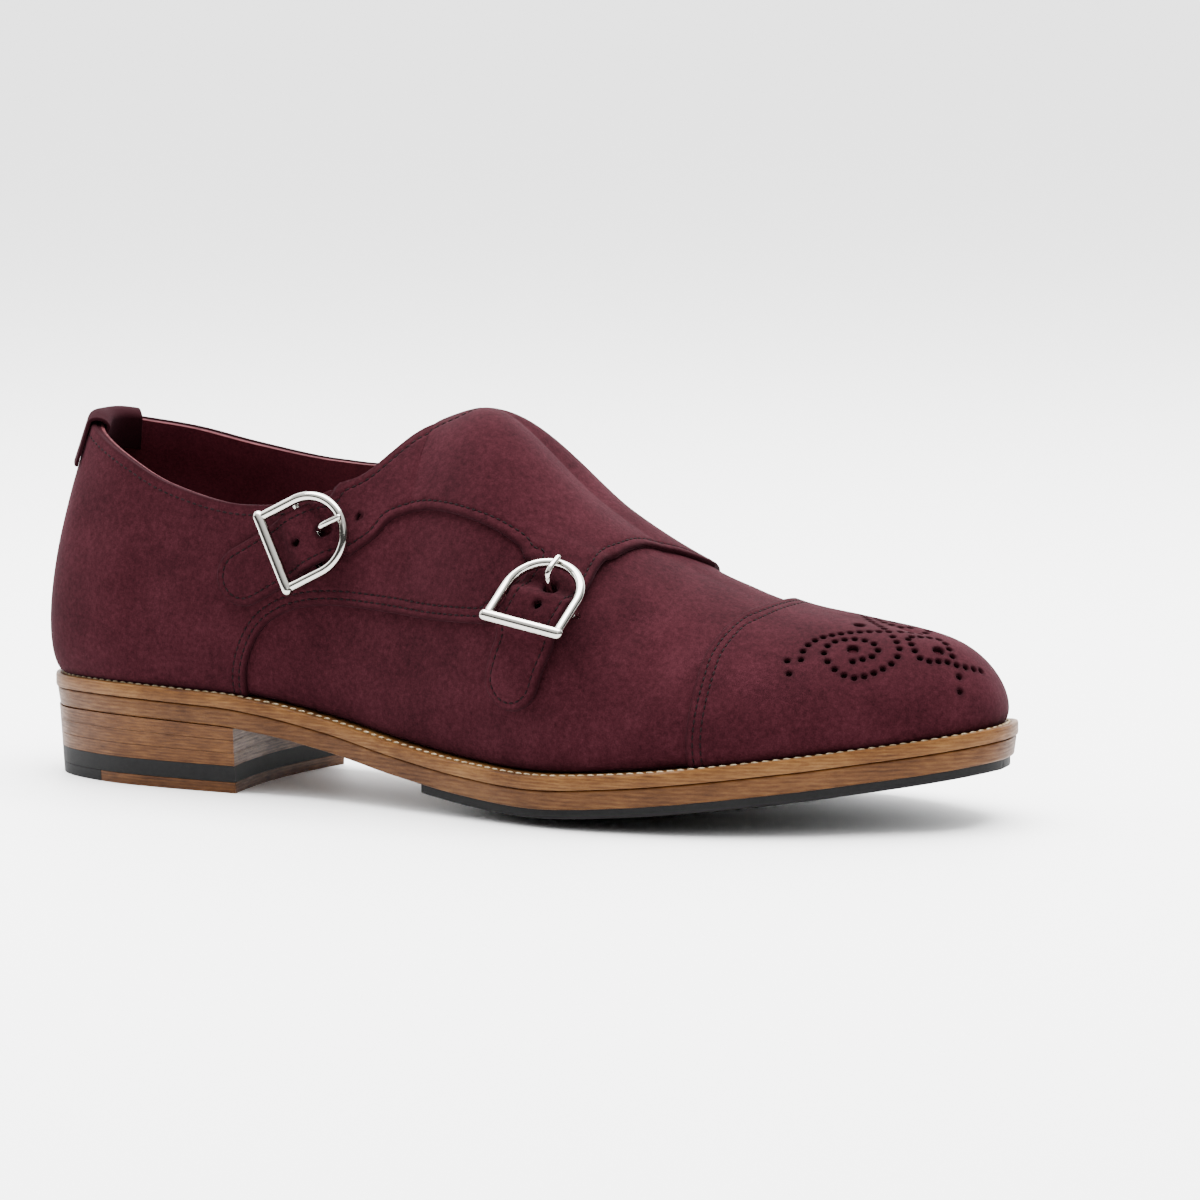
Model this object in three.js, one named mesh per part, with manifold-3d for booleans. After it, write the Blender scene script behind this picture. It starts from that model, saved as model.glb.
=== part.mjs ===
// Double monk strap shoe, right foot. Millimetres, +X to the toe, +Y to the inner side, +Z up.
import * as THREE from 'three';
import { mergeVertices } from 'three/addons/utils/BufferGeometryUtils.js';
import Module from 'manifold-3d';

const wasm = await Module();
wasm.setup();

// Driving sizes of the whole shoe
const soleLength = 297.5;      // heel to toe along the welt
const ballWidth = 108;         // unit of the sections' widths, whose shares make the welt some 103 wide
const instepHeight = 106;      // floor to the top of the instep
const heelRise = 17.2;         // outsole's underside at the heel, above the ball
const toeSpring = 16.2;        // outsole's underside at the toe tip, above the ball
const fitGap = 0.3;            // air left between two pieces that meet
const featherGap = 0.75;       // upper's foot above the welt, which climbs under the toe cap

// Leather and rubber thicknesses
const upperWall = 2.2;
const overlayWall = 1.2;
const strapWall = 1.6;
const tongueWall = 1.8;
const outsoleWall = 5.2;
const weltWall = 3.8;
const insoleWall = 3.2;        // part of the insole that stands above the welt
const rubberWall = 2.3;
const flatSpot = 0.35;         // how deep the forepart rubber is worn flat on the floor

// Sole and heel
const edgeLift = 2.9;          // how far the forepart's edges curve up across
const outsoleStep = 0.5;       // outsole's edge stands back from the welt's
const outsoleTaper = 0.6;
const rubberInset = 2.2;
const rubberStart = 0.47;      // share of the length where the forepart rubber begins
const heelLength = 75.5;
const heelInset = 0.9;
const heelTaper = 1.1;         // how much further in the heel's foot stands than its seat
const breastHollow = 3.5;      // forward face of the heel, hollow across
const liftCount = 3;
const blackLiftWall = 4.2;
const topPieceWall = 3.1;
const topPieceSplit = 27;      // where the heel's rubber corner meets its leather front

// Straps and buckles
const strapWidth = 17.2;
const rootSink = 0.3;          // a strap's root lies this deep inside the saddle's two faces
const rootLength = 7.6;        // how much of a strap lies inside the saddle
const rootBlend = 3;            // then it rises to its own height over this length
const strapSlack = 2.3;        // how much a strap rises to pass over its buckle's centre bar
const riseStart = 2.2;         // the rise begins this far past the end bar
const riseClear = 4;           // and is complete this far before the legs end
const fallStart = 2;           // it falls again this far past the legs' end
const fallLength = 4;
const tailStart = 3;           // behind the end bar the tail comes down to the leather under it
const tailLength = 11;
const holeRadius = 1.9;        // the strap's hole that the prong comes through
const buckleClear = 0.7;       // buckle's frame over the strap, which is less curved than the foot
const barLength = 24.2;
const barRadius = 1.65;
const wireRadius = 1.35;
const bowRadius = 11.1;
const legLength = 11.5;
const centreBarRadius = 1;
const centreBarCorner = 0.8;   // share of its rise and half width where the centre bar turns
const prongRadius = 0.85;
const prongRun = 1.8;          // straight part of the prong in front of the centre bar
const prongClimb = 2.6;        // length over which it climbs onto the bow
const throatLap = 4;           // how far the upper's edge lies under the saddle's at the throat
const throatSlant = 0.1;       // rise of the throat's edge for each millimetre to the inner side
const tabHeight = 13;
const tabWall = 1;
const tabClear = 0.7;

// Sections of the last, heel to toe. at and topAt are shares of soleLength, the widths of ballWidth,
// the rises of instepHeight. bulge is how far the side swells past the welt seam, in shares of upperWall.
const sectionColumns = ['at', 'outer', 'inner', 'topAt', 'topOuter', 'topInner', 'riseOuter', 'riseInner',
  'bulge', 'round', 'weltSeat'];
const sections = [
  [0.000, 0.000, 0.000, 0.047, 0.000, 0.000, 0.965, 0.965, 1.9, 1.00, 0.74],
  [0.010, 0.115, 0.115, 0.052, 0.062, 0.062, 0.962, 0.964, 1.9, 1.00, 0.74],
  [0.042, 0.215, 0.215, 0.068, 0.126, 0.124, 0.938, 0.950, 2.0, 1.00, 0.78],
  [0.105, 0.288, 0.280, 0.112, 0.194, 0.184, 0.885, 0.925, 1.7, 1.00, 0.83],
  [0.175, 0.313, 0.300, 0.175, 0.234, 0.214, 0.815, 0.885, 1.4, 1.00, 0.89],
  [0.265, 0.321, 0.282, 0.262, 0.250, 0.214, 0.772, 0.850, 1.3, 1.05, 0.89],
  [0.355, 0.325, 0.252, 0.345, 0.218, 0.170, 0.815, 0.858, 1.3, 1.30, 0.93],
  [0.443, 0.375, 0.250, 0.424, 0.000, 0.000, 0.988, 0.988, 1.3, 1.85, 0.96],
  [0.533, 0.438, 0.308, 0.489, 0.000, 0.000, 1.003, 1.003, 1.3, 2.00, 1.02],
  [0.615, 0.488, 0.392, 0.584, 0.000, 0.000, 0.788, 0.788, 1.3, 2.05, 1.11],
  [0.697, 0.485, 0.453, 0.673, 0.000, 0.000, 0.640, 0.640, 1.3, 2.10, 1.11],
  [0.775, 0.445, 0.465, 0.765, 0.000, 0.000, 0.545, 0.545, 1.3, 2.20, 1.11],
  [0.858, 0.349, 0.425, 0.835, 0.000, 0.000, 0.508, 0.508, 1.3, 2.30, 1.11],
  [0.929, 0.212, 0.335, 0.880, 0.000, 0.000, 0.488, 0.488, 1.3, 2.40, 1.02],
  [0.980, 0.090, 0.235, 0.898, 0.000, 0.000, 0.476, 0.476, 1.0, 2.40, 1.05],
  [1.000, -0.062, 0.062, 0.905, 0.000, 0.000, 0.470, 0.470, 0.9, 2.40, 1.12],
];
const weltReach = 5.4;         // welt's width outside its seam, which weltSeat shares out
const throatSection = 7;       // from here to the toe both sides meet on the ridge
const ringSteps = [1, 2, 2, 2, 2, 2, 3, 3, 3, 2, 2, 2, 2, 1, 2];
const wallShares = [0, 0.04, 0.10, 0.19, 0.30, 0.42, 0.54, 0.66, 0.78, 0.89, 1];

// Underside of the outsole along its middle: shares of heelRise and of toeSpring
const soleLine = [
  { at: 0.00, heel: 1.000, toe: 0 },
  { at: 0.10, heel: 1.035, toe: 0 },
  { at: 0.20, heel: 1.000, toe: 0 },
  { at: 0.265, heel: 0.935, toe: 0 },
  { at: 0.35, heel: 0.670, toe: 0 },
  { at: 0.44, heel: 0.340, toe: 0 },
  { at: 0.53, heel: 0.090, toe: 0 },
  { at: 0.61, heel: 0.000, toe: 0 },
  { at: 0.70, heel: 0.000, toe: 0.110 },
  { at: 0.78, heel: 0.000, toe: 0.290 },
  { at: 0.86, heel: 0.000, toe: 0.510 },
  { at: 0.93, heel: 0.000, toe: 0.730 },
  { at: 1.00, heel: 0.000, toe: 1.000 },
];
const liftLine = [
  { at: 0.27, lift: 0 }, { at: 0.40, lift: 0.35 }, { at: 0.58, lift: 1 },
  { at: 0.76, lift: 1 }, { at: 0.90, lift: 0.6 }, { at: 1.00, lift: 0 },
];
// Inward swing of the ridge from heel to toe, shares of ballWidth
const ridgeLine = [
  { at: 0.20, swing: 0 }, { at: 0.49, swing: 0.010 }, { at: 0.68, swing: 0.028 },
  { at: 0.91, swing: 0.056 }, { at: 1.00, swing: 0.060 },
];

const burgundy = { color: 0x5a1f33, roughness: 0.92, metalness: 0 };
const looks = {
  suede: burgundy,
  lining: { color: 0x7c2330, roughness: 0.7, metalness: 0 },
  tan: { color: 0xa9743f, roughness: 0.6, metalness: 0 },
  rubber: { color: 0x1c1a19, roughness: 0.85, metalness: 0 },
  silver: { color: 0xc9c7c2, roughness: 0.2, metalness: 1 },
};

const group = new THREE.Group();

function addPiece(name, geometry, look) {
  const mesh = new THREE.Mesh(geometry, new THREE.MeshStandardMaterial(look));
  mesh.name = name;
  group.add(mesh);
}

// Reading the tables

function blend(before, from, to, after, share) {
  const square = share * share;
  return 0.5 * (2 * from + (to - before) * share
    + (2 * before - 5 * from + 4 * to - after) * square
    + (3 * from - before - 3 * to + after) * square * share);
}

function column(name) {
  const index = sectionColumns.indexOf(name);
  return sections.map((row) => row[index]);
}

// A smooth value between the entries of a list, which runs on in a ring or along its end slopes
function smooth(values, place, ring) {
  const count = values.length;
  const start = ring ? Math.floor(place) : Math.min(Math.max(Math.floor(place), 0), count - 2);
  const read = (index) => {
    if (ring) return values[((index % count) + count) % count];
    if (index < 0) return 2 * values[0] - values[1];
    if (index >= count) return 2 * values[count - 1] - values[count - 2];
    return values[index];
  };
  return blend(read(start - 1), read(start), read(start + 1), read(start + 2), place - start);
}

function lineValue(rows, key, at) {
  if (at <= rows[0].at) return rows[0][key];
  const last = rows.length - 1;
  if (at >= rows[last].at) return rows[last][key];
  const next = rows.findIndex((row) => row.at > at);
  const share = (at - rows[next - 1].at) / (rows[next].at - rows[next - 1].at);
  return smooth(rows.map((row) => row[key]), next - 1 + share, false);
}

const half = sections.length - 1;
const whole = 2 * half;
const aroundRing = (outer, inner) => [...outer, ...inner.slice(1, -1).reverse()];
const mirrored = (name) => aroundRing(column(name), column(name));
const outlineAt = mirrored('at');
const outlineAcross = aroundRing(column('outer').map((width) => -width), column('inner'));
outlineAcross[half] = column('inner')[half];
const weltSeats = mirrored('weltSeat');
const bulges = mirrored('bulge');
const rounds = mirrored('round');
const topAts = column('topAt');
const collarAt = aroundRing(topAts.slice(0, throatSection + 1), topAts.slice(0, throatSection + 1));
const collarAcross = aroundRing(column('topOuter').slice(0, throatSection + 1).map((width) => -width),
  column('topInner').slice(0, throatSection + 1));
const collarRise = aroundRing(column('riseOuter').slice(0, throatSection + 1),
  column('riseInner').slice(0, throatSection + 1));

function outlinePoint(place) {
  return new THREE.Vector2(smooth(outlineAt, place, true) * soleLength,
    smooth(outlineAcross, place, true) * ballWidth);
}

const heelEnd = outlinePoint(0).x;
const toeEnd = outlinePoint(half).x;

// The outline moved inwards, square to its own run
function insetPoint(place, inset) {
  const step = 0.01;
  const along = outlinePoint(place + step).sub(outlinePoint(place - step)).normalize();
  return outlinePoint(place).add(new THREE.Vector2(-along.y, along.x).multiplyScalar(inset));
}

function soleHeight(x) {
  const at = x / soleLength;
  return rubberWall + fitGap - flatSpot + lineValue(soleLine, 'heel', at) * heelRise
    + lineValue(soleLine, 'toe', at) * toeSpring;
}

const crossLift = (x) => Math.max(0, lineValue(liftLine, 'lift', x / soleLength)) * edgeLift;
const ridgeSwing = (x) => lineValue(ridgeLine, 'swing', x / soleLength) * ballWidth;
const soleUnder = (x, across) => soleHeight(x) + crossLift(x) * Math.abs(across) ** 2.5;
const soleStack = outsoleWall + fitGap + weltWall;
const weltSeat = (place) => smooth(weltSeats, place, true) * weltReach;

// Form of the last

function topPoint(place) {
  const side = place <= half ? place : whole - place;
  if (side < throatSection) {
    const around = 2 * throatSection;
    const spot = place <= half ? side : around - side;
    const x = smooth(collarAt, spot, true) * soleLength;
    const y = smooth(collarAcross, spot, true) * ballWidth + ridgeSwing(x);
    return new THREE.Vector3(x, y, smooth(collarRise, spot, true) * instepHeight);
  }
  const x = smooth(topAts.slice(throatSection), side - throatSection, false) * soleLength;
  const rise = smooth(column('riseOuter').slice(throatSection), side - throatSection, false);
  return new THREE.Vector3(x, ridgeSwing(x), rise * instepHeight);
}

function formPoint(place, turn) {
  const edge = outlinePoint(place);
  const foot = insetPoint(place, weltSeat(place));
  const inward = foot.clone().sub(edge).normalize();
  const low = soleUnder(foot.x, 1) + soleStack + featherGap;
  const top = topPoint(place);
  const angle = turn * Math.PI / 2;
  const height = Math.sin(angle);
  const inwards = 1 - Math.max(Math.cos(angle), 0) ** (2 / smooth(rounds, place, true));
  const swell = smooth(bulges, place, true) * upperWall * Math.sin(Math.PI * Math.sqrt(height));
  const flat = foot.clone().lerp(new THREE.Vector2(top.x, top.y), inwards).addScaledVector(inward, -swell);
  return new THREE.Vector3(flat.x, flat.y, low + (top.z - low) * height);
}

// One upright line of the form, its points spread by their length
function formLine(place, shares) {
  const samples = 48;
  const points = [];
  const lengths = [0];
  for (let i = 0; i <= samples; i += 1) {
    points.push(formPoint(place, i / samples));
    if (i > 0) lengths.push(lengths[i - 1] + points[i].distanceTo(points[i - 1]));
  }
  return shares.map((share) => {
    const goal = share * lengths[samples];
    let next = lengths.findIndex((length) => length >= goal);
    next = Math.max(next, 1);
    const part = (goal - lengths[next - 1]) / (lengths[next] - lengths[next - 1]);
    return points[next - 1].clone().lerp(points[next], part);
  });
}

function ringPlaces() {
  const side = [0];
  ringSteps.forEach((steps, section) => {
    for (let step = 1; step <= steps; step += 1) side.push(section + step / steps);
  });
  return [...side, ...side.slice(1, -1).reverse().map((place) => whole - place)];
}

// The form as a net of points with their normals, which every piece of the upper is offset from
function makeNet() {
  const places = ringPlaces();
  const count = places.length;
  const top = wallShares.length - 1;
  const lines = places.map((place) => formLine(place, wallShares));
  const onRidge = (index) => Math.min(places[index], whole - places[index]) >= throatSection;
  const id = (station, row) => {
    const index = (station + count) % count;
    const twin = (count - index) % count;
    return (row === top && index > twin && onRidge(index) ? twin : index) * (top + 1) + row;
  };
  const faces = [];
  for (let i = 0; i < count; i += 1) {
    for (let j = 0; j < top; j += 1) {
      faces.push([id(i, j), id(i + 1, j), id(i + 1, j + 1)], [id(i, j), id(i + 1, j + 1), id(i, j + 1)]);
    }
  }
  const points = lines.flat();
  const normals = points.map(() => new THREE.Vector3());
  faces.forEach((face) => {
    const [a, b, c] = face.map((index) => points[index]);
    const turned = b.clone().sub(a).cross(c.clone().sub(a));
    face.forEach((index) => normals[index].add(turned));
  });
  for (let i = 0; i < count; i += 1) normals[id(i, 0)].z = 0;
  normals.forEach((normal) => normal.normalize());
  const feet = [];
  const collar = [];
  for (let i = 0; i < count; i += 1) {
    feet.push([id(i + 1, 0), id(i, 0)]);
    if (!(onRidge(i) && onRidge((i + 1) % count))) collar.push([id(i, top), id(i + 1, top)]);
  }
  return { points, normals, faces, edges: [...feet, ...collar] };
}

const net = makeNet();

// A closed wall between two offsets of the net. Each offset is a function of the net's point.
function wall(innerOffset, outerOffset) {
  const total = net.points.length;
  const vertices = [];
  [outerOffset, innerOffset].forEach((offset) => {
    net.points.forEach((point, index) => {
      vertices.push(point.clone().addScaledVector(net.normals[index], offset(point)));
    });
  });
  const faces = net.faces.flatMap(([a, b, c]) => [[a, b, c], [a + total, c + total, b + total]]);
  net.edges.forEach(([a, b]) => faces.push([a, b, b + total], [a, b + total, a + total]));
  return closedSolid(vertices, faces);
}

// Solids

function closedSolid(vertices, faces) {
  const geometry = new THREE.BufferGeometry();
  geometry.setAttribute('position', new THREE.Float32BufferAttribute(vertices.flatMap((v) => v.toArray()), 3));
  geometry.setIndex(faces.flat());
  return solidOf(geometry);
}

function solidOf(geometry) {
  const plain = geometry.clone();
  ['normal', 'uv'].forEach((name) => plain.deleteAttribute(name));
  const merged = mergeVertices(plain, 1e-4);
  const corners = merged.index.array;
  const sound = [];
  for (let i = 0; i < corners.length; i += 3) {
    const [a, b, c] = corners.slice(i, i + 3);
    if (a !== b && b !== c && c !== a) sound.push(a, b, c);
  }
  return new wasm.Manifold(new wasm.Mesh({
    numProp: 3,
    vertProperties: new Float32Array(merged.attributes.position.array),
    triVerts: new Uint32Array(sound),
  }));
}

function geometryOf(solid) {
  const mesh = solid.getMesh();
  const geometry = new THREE.BufferGeometry();
  geometry.setAttribute('position', new THREE.Float32BufferAttribute(mesh.vertProperties, 3));
  geometry.setIndex(Array.from(mesh.triVerts));
  geometry.computeVertexNormals();
  return geometry;
}

function blockBetween(low, high) {
  const size = high.clone().sub(low);
  const box = new THREE.BoxGeometry(size.x, size.y, size.z);
  box.translate((low.x + high.x) / 2, (low.y + high.y) / 2, (low.z + high.z) / 2);
  return solidOf(box);
}

// A block with a side-view outline, running across from one y to another
function sideBlock(shape, fromY, toY) {
  const geometry = new THREE.ExtrudeGeometry(shape, {
    depth: toY - fromY, bevelEnabled: false, curveSegments: 5,
  });
  geometry.rotateX(Math.PI / 2);
  geometry.translate(0, toY, 0);
  return solidOf(geometry);
}

const offsetBy = (offset) => () => offset;

// Sole: plates with stations from heel to toe, each a row of points from outer to inner side

function soleStations(fromX, toX) {
  const list = ringPlaces().filter((place) => place <= half);
  const inside = list.filter((place) => {
    const x = outlinePoint(place).x;
    return x > fromX + 2 && x < toX - 2;
  });
  return [placeAt(fromX), ...inside, placeAt(toX)];
}

// The place on the outer side where the outline passes a given x
function placeAt(x) {
  if (x <= heelEnd) return 0;
  if (x >= toeEnd) return half;
  let low = 0;
  let high = half;
  for (let i = 0; i < 40; i += 1) {
    const middle = (low + high) / 2;
    if (outlinePoint(middle).x < x) low = middle;
    else high = middle;
  }
  return (low + high) / 2;
}

// heights(x, across) gives a plate's underside and its top, across runs from -1 to 1.
// hollow(x) is how far the middle of the plate's front end draws back.
function plate({ stations, cells, insetLow, insetTop, heights, hollow }) {
  const vertices = [[], []];
  stations.forEach((place) => {
    for (let cell = 0; cell <= cells; cell += 1) {
      [insetLow, insetTop].forEach((inset, level) => {
        const outer = insetPoint(place, inset(place));
        const inner = insetPoint(whole - place, inset(place));
        const across = outer.distanceTo(inner) > fitGap ? 2 * cell / cells - 1 : 0;
        const spot = outer.lerp(inner, cell / cells);
        if (hollow) spot.x -= hollow(spot.x) * (1 - across * across);
        vertices[level].push(new THREE.Vector3(spot.x, spot.y, heights(spot.x, across)[level]));
      });
    }
  });
  return closedSolid(vertices.flat(), bandFaces(stations.length, cells + 1));
}

function makeOutsole() {
  return plate({
    stations: soleStations(heelEnd, toeEnd), cells: 4,
    insetLow: () => outsoleStep + outsoleTaper, insetTop: () => outsoleStep,
    heights: (x, across) => [soleUnder(x, across), soleUnder(x, across) + outsoleWall],
  });
}

function makeForepartRubber() {
  const rubber = plate({
    stations: soleStations(soleLength * rubberStart, toeEnd), cells: 4,
    insetLow: () => rubberInset, insetTop: () => rubberInset,
    heights: (x, across) => {
      const top = soleUnder(x, across) - fitGap;
      return [top - rubberWall, top];
    },
  });
  const far = soleLength;
  return rubber.subtract(blockBetween(new THREE.Vector3(-far, -far, -far), new THREE.Vector3(2 * far, far, 0)));
}

function makeWelt() {
  const places = ringPlaces();
  const vertices = [];
  places.forEach((place) => {
    const seat = weltSeat(place) + upperWall;
    [[0, 0], [seat, 0], [seat, weltWall], [0, weltWall]].forEach(([inset, rise]) => {
      const spot = insetPoint(place, inset);
      const level = soleUnder(spot.x, 1) + outsoleWall + fitGap;
      vertices.push(new THREE.Vector3(spot.x, spot.y, level + rise));
    });
  });
  return closedSolid(vertices, ringFaces(places.length, 4));
}

// Faces of a band of sections, closed to a ring or open at both ends
function ringFaces(count, sides, closed = true) {
  const faces = [];
  for (let i = 0; i < (closed ? count : count - 1); i += 1) {
    const next = ((i + 1) % count) * sides;
    for (let side = 0; side < sides; side += 1) {
      const other = (side + 1) % sides;
      faces.push([i * sides + side, i * sides + other, next + other],
        [i * sides + side, next + other, next + side]);
    }
  }
  return faces;
}

// The insole lies on the outsole, inside the welt's ring
function makeInsole() {
  const places = ringPlaces().filter((place) => place <= half);
  const seat = (place) => weltSeat(place) + upperWall + fitGap;
  return plate({
    stations: places, cells: 2, insetLow: seat, insetTop: seat,
    heights: (x, across) => {
      const low = soleUnder(x, across) + outsoleWall + fitGap;
      return [low, low + weltWall + insoleWall];
    },
  });
}

// Heel slabs narrow a little from the seat to the floor, and their breast is hollow
function heelSlab(lowLevel, topLevel, fromX = heelEnd, toX = heelLength) {
  const seatHeight = soleHeight(0);
  const inset = (z) => heelInset + heelTaper * (1 - Math.min(z / seatHeight, 1));
  const start = heelLength / 2;
  return plate({
    stations: soleStations(fromX, toX), cells: 4,
    insetLow: () => inset(lowLevel(0)), insetTop: () => inset(topLevel(0)),
    heights: (x) => [lowLevel(x), topLevel(x)],
    hollow: (x) => breastHollow * Math.max(0, (x - start) / (heelLength - start)) ** 2,
  });
}

const blackLiftTop = topPieceWall + fitGap + blackLiftWall;

function makeHeelLift(index) {
  const level = (step, x) => {
    const bottom = blackLiftTop + fitGap;
    return bottom + (soleHeight(x) - bottom) * step / liftCount;
  };
  return heelSlab((x) => level(index, x), (x) => level(index + 1, x) - fitGap);
}

const makeTopPiece = (fromX, toX) => heelSlab(() => 0, () => topPieceWall, fromX, toX);

// Side-view outlines, as shares of soleLength and of instepHeight
const throatLine = [[0.300, 0.847], [0.335, 0.836], [0.357, 0.848], [0.379, 0.871], [0.398, 0.913],
  [0.417, 0.959], [0.434, 0.992], [0.455, 1.020], [0.478, 1.065]];
const quarterSeam = [[0.266, 0.050], [0.267, 0.270], [0.271, 0.360], [0.284, 0.440], [0.303, 0.485],
  [0.328, 0.510], [0.360, 0.520], [0.420, 0.515], [0.480, 0.506], [0.545, 0.508]];
const quarterHidden = [[0.560, 0.550], [0.583, 0.630], [0.583, 0.690], [0.555, 0.755], [0.500, 0.822],
  [0.435, 0.848], [0.385, 0.840], [0.350, 1.100]];
const scallop = [[0.571, 0.665], [0.567, 0.688], [0.556, 0.712], [0.530, 0.748], [0.498, 0.770],
  [0.465, 0.776], [0.438, 0.764], [0.413, 0.738], [0.395, 0.705], [0.378, 0.652]];
const capSeam = [[0.790, 0.620], [0.773, 0.553], [0.763, 0.530], [0.758, 0.490], [0.756, 0.440],
  [0.758, 0.370], [0.759, 0.200], [0.759, 0.000]];
const innerFront = [[0.720, 0.730], [0.690, 0.640], [0.664, 0.560], [0.632, 0.470], [0.598, 0.360],
  [0.570, 0.240], [0.556, 0.060]];
// Plan outline of the saddle's front edge, shares of soleLength and of ballWidth
const saddleFront = [[0.624, -0.420], [0.630, -0.300], [0.636, -0.220], [0.641, -0.110], [0.646, -0.020],
  [0.660, 0.050], [0.676, 0.110], [0.686, 0.190], [0.700, 0.270], [0.730, 0.340]];

function curveThrough(points, steps, shiftX = 0) {
  const spots = points.map(([at, rise]) => new THREE.Vector2(at * soleLength + shiftX, rise * instepHeight));
  return new THREE.SplineCurve(spots).getPoints(steps);
}

function corner(at, rise) {
  return new THREE.Vector2(at * soleLength, rise * instepHeight);
}

// What lies above and behind the throat's edge, lap further forward for what the saddle hides.
// The edge stands higher on the inner side.
function throatBlock(lap) {
  const edge = curveThrough(throatLine, 14, lap);
  const block = new THREE.ExtrudeGeometry(new THREE.Shape([...edge, corner(0.478, 1.4), corner(0.3, 1.4)]),
    { depth: 2 * ballWidth, bevelEnabled: false });
  block.translate(0, 0, -ballWidth);
  block.rotateX(Math.PI / 2);
  block.applyMatrix4(new THREE.Matrix4().makeShear(0, 0, 0, throatSlant, 0, 0));
  return solidOf(block);
}

const ridgeY = ridgeSwing(soleLength * 0.45);
const seamGap = fitGap / 2;

function makeUpper() {
  return wall(offsetBy(-upperWall), offsetBy(0)).subtract(throatBlock(throatLap));
}

function overlay(lift) {
  return wall(offsetBy(lift), offsetBy(lift + overlayWall));
}

function makeToeCap() {
  const edge = curveThrough(capSeam, 12);
  const front = new THREE.Shape([...edge, corner(1.2, 0), corner(1.2, 0.62)]);
  return overlay(fitGap).intersect(sideBlock(front, -ballWidth, ballWidth));
}

function makeOuterQuarter() {
  const edge = [...curveThrough(quarterSeam, 18), ...curveThrough(quarterHidden, 12)];
  const back = new THREE.Shape([...edge, corner(-0.2, 1.3), corner(-0.2, 0.05)]);
  const region = sideBlock(back, -ballWidth, -seamGap);
  return overlay(fitGap).intersect(region).subtract(throatBlock(throatLap));
}

const ramp = (value, from, to) => THREE.MathUtils.smoothstep(value, Math.min(from, to), Math.max(from, to));

// How far the saddle stands off the form: over the outer quarter it lies on two walls
function saddleLift(point) {
  const acrossShare = (point.y - ridgeY) / ballWidth;
  const outerSide = 1 - ramp(acrossShare, -0.13, 0.03);
  const rear = 1 - ramp(point.x / soleLength, 0.618, 0.652);
  return fitGap + (overlayWall + fitGap) * outerSide * rear;
}

function makeSaddleBody() {
  const sheet = wall(saddleLift, (point) => saddleLift(point) + overlayWall);
  const strapRoots = curveThrough(scallop, 20);
  const outer = new THREE.Shape([...strapRoots, corner(0.348, 0.83), corner(0.348, 1.3),
    corner(0.75, 1.3), corner(0.75, 0.665)]);
  const inner = new THREE.Shape([...curveThrough(innerFront, 14), corner(-0.2, 0), corner(-0.2, 1.3),
    corner(0.720, 1.3)]);
  const plan = new THREE.SplineCurve(saddleFront.map(([at, across]) =>
    new THREE.Vector2(at * soleLength, across * ballWidth))).getPoints(16);
  const planShape = new THREE.Shape([...plan, new THREE.Vector2(0.73 * soleLength, ballWidth),
    new THREE.Vector2(-ballWidth, ballWidth), new THREE.Vector2(-ballWidth, -ballWidth),
    new THREE.Vector2(0.624 * soleLength, -ballWidth)]);
  const planBlock = solidOf(new THREE.ExtrudeGeometry(planShape, { depth: 2 * instepHeight, bevelEnabled: false }));
  const region = sideBlock(outer, -ballWidth, ridgeY).add(sideBlock(inner, ridgeY, ballWidth))
    .subtract(blockBetween(new THREE.Vector3(-ballWidth, -ballWidth, -1), new THREE.Vector3(heelLength, seamGap,
      2 * instepHeight)));
  return sheet.intersect(region).intersect(planBlock).subtract(throatBlock(0));
}

function makeTongue() {
  const top = -upperWall - fitGap;
  const region = new THREE.Shape([corner(0.330, 0.840), corner(0.330, 1.3), corner(0.610, 1.3),
    corner(0.610, 0.730), corner(0.540, 0.740), corner(0.450, 0.800), corner(0.380, 0.800)]);
  return wall(offsetBy(top - tongueWall), offsetBy(top)).intersect(sideBlock(region, -ballWidth, ballWidth));
}

// Seats on the outer side of the form, found where a side-view point meets the net's faces

function seat([at, rise], lift) {
  const x = at * soleLength;
  const z = rise * instepHeight;
  let best = null;
  net.faces.forEach((face) => {
    const [a, b, c] = face.map((index) => net.points[index]);
    if (Math.min(a.x, b.x, c.x) > x || Math.max(a.x, b.x, c.x) < x || a.y > ridgeY) return;
    const area = (b.x - a.x) * (c.z - a.z) - (c.x - a.x) * (b.z - a.z);
    const shareB = ((x - a.x) * (c.z - a.z) - (c.x - a.x) * (z - a.z)) / area;
    const shareC = ((b.x - a.x) * (z - a.z) - (x - a.x) * (b.z - a.z)) / area;
    if (shareB < 0 || shareC < 0 || shareB + shareC > 1) return;
    const y = a.y + (b.y - a.y) * shareB + (c.y - a.y) * shareC;
    if (best && best.point.y < y) return;
    const normal = new THREE.Vector3();
    [1 - shareB - shareC, shareB, shareC].forEach((share, index) => {
      normal.addScaledVector(net.normals[face[index]], share);
    });
    best = { point: new THREE.Vector3(x, y, z), normal: normal.normalize() };
  });
  if (best) best.point.addScaledVector(best.normal, lift);
  return best;
}

const sideShare = (point) => [point.x / soleLength, point.z / instepHeight];
const quarterLift = 2 * fitGap + overlayWall;

// The two straps: their middle lines in side view, and how each tail lies
const straps = [
  {
    name: 'rear',
    line: [[0.384, 0.752], [0.363, 0.725], [0.340, 0.700], [0.319, 0.670], [0.2975, 0.634], [0.269, 0.588],
      [0.242, 0.550]],
    bar: [0.305, 0.646], apex: [0.376, 0.741], tailLift: quarterLift,
  },
  {
    name: 'front',
    line: [[0.606, 0.730], [0.607, 0.690], [0.607, 0.650], [0.606, 0.610], [0.597, 0.514], [0.587, 0.415],
      [0.578, 0.300]],
    bar: [0.600, 0.460], apex: [0.612, 0.725], tailLift: fitGap + 0.1,
  },
];

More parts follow.
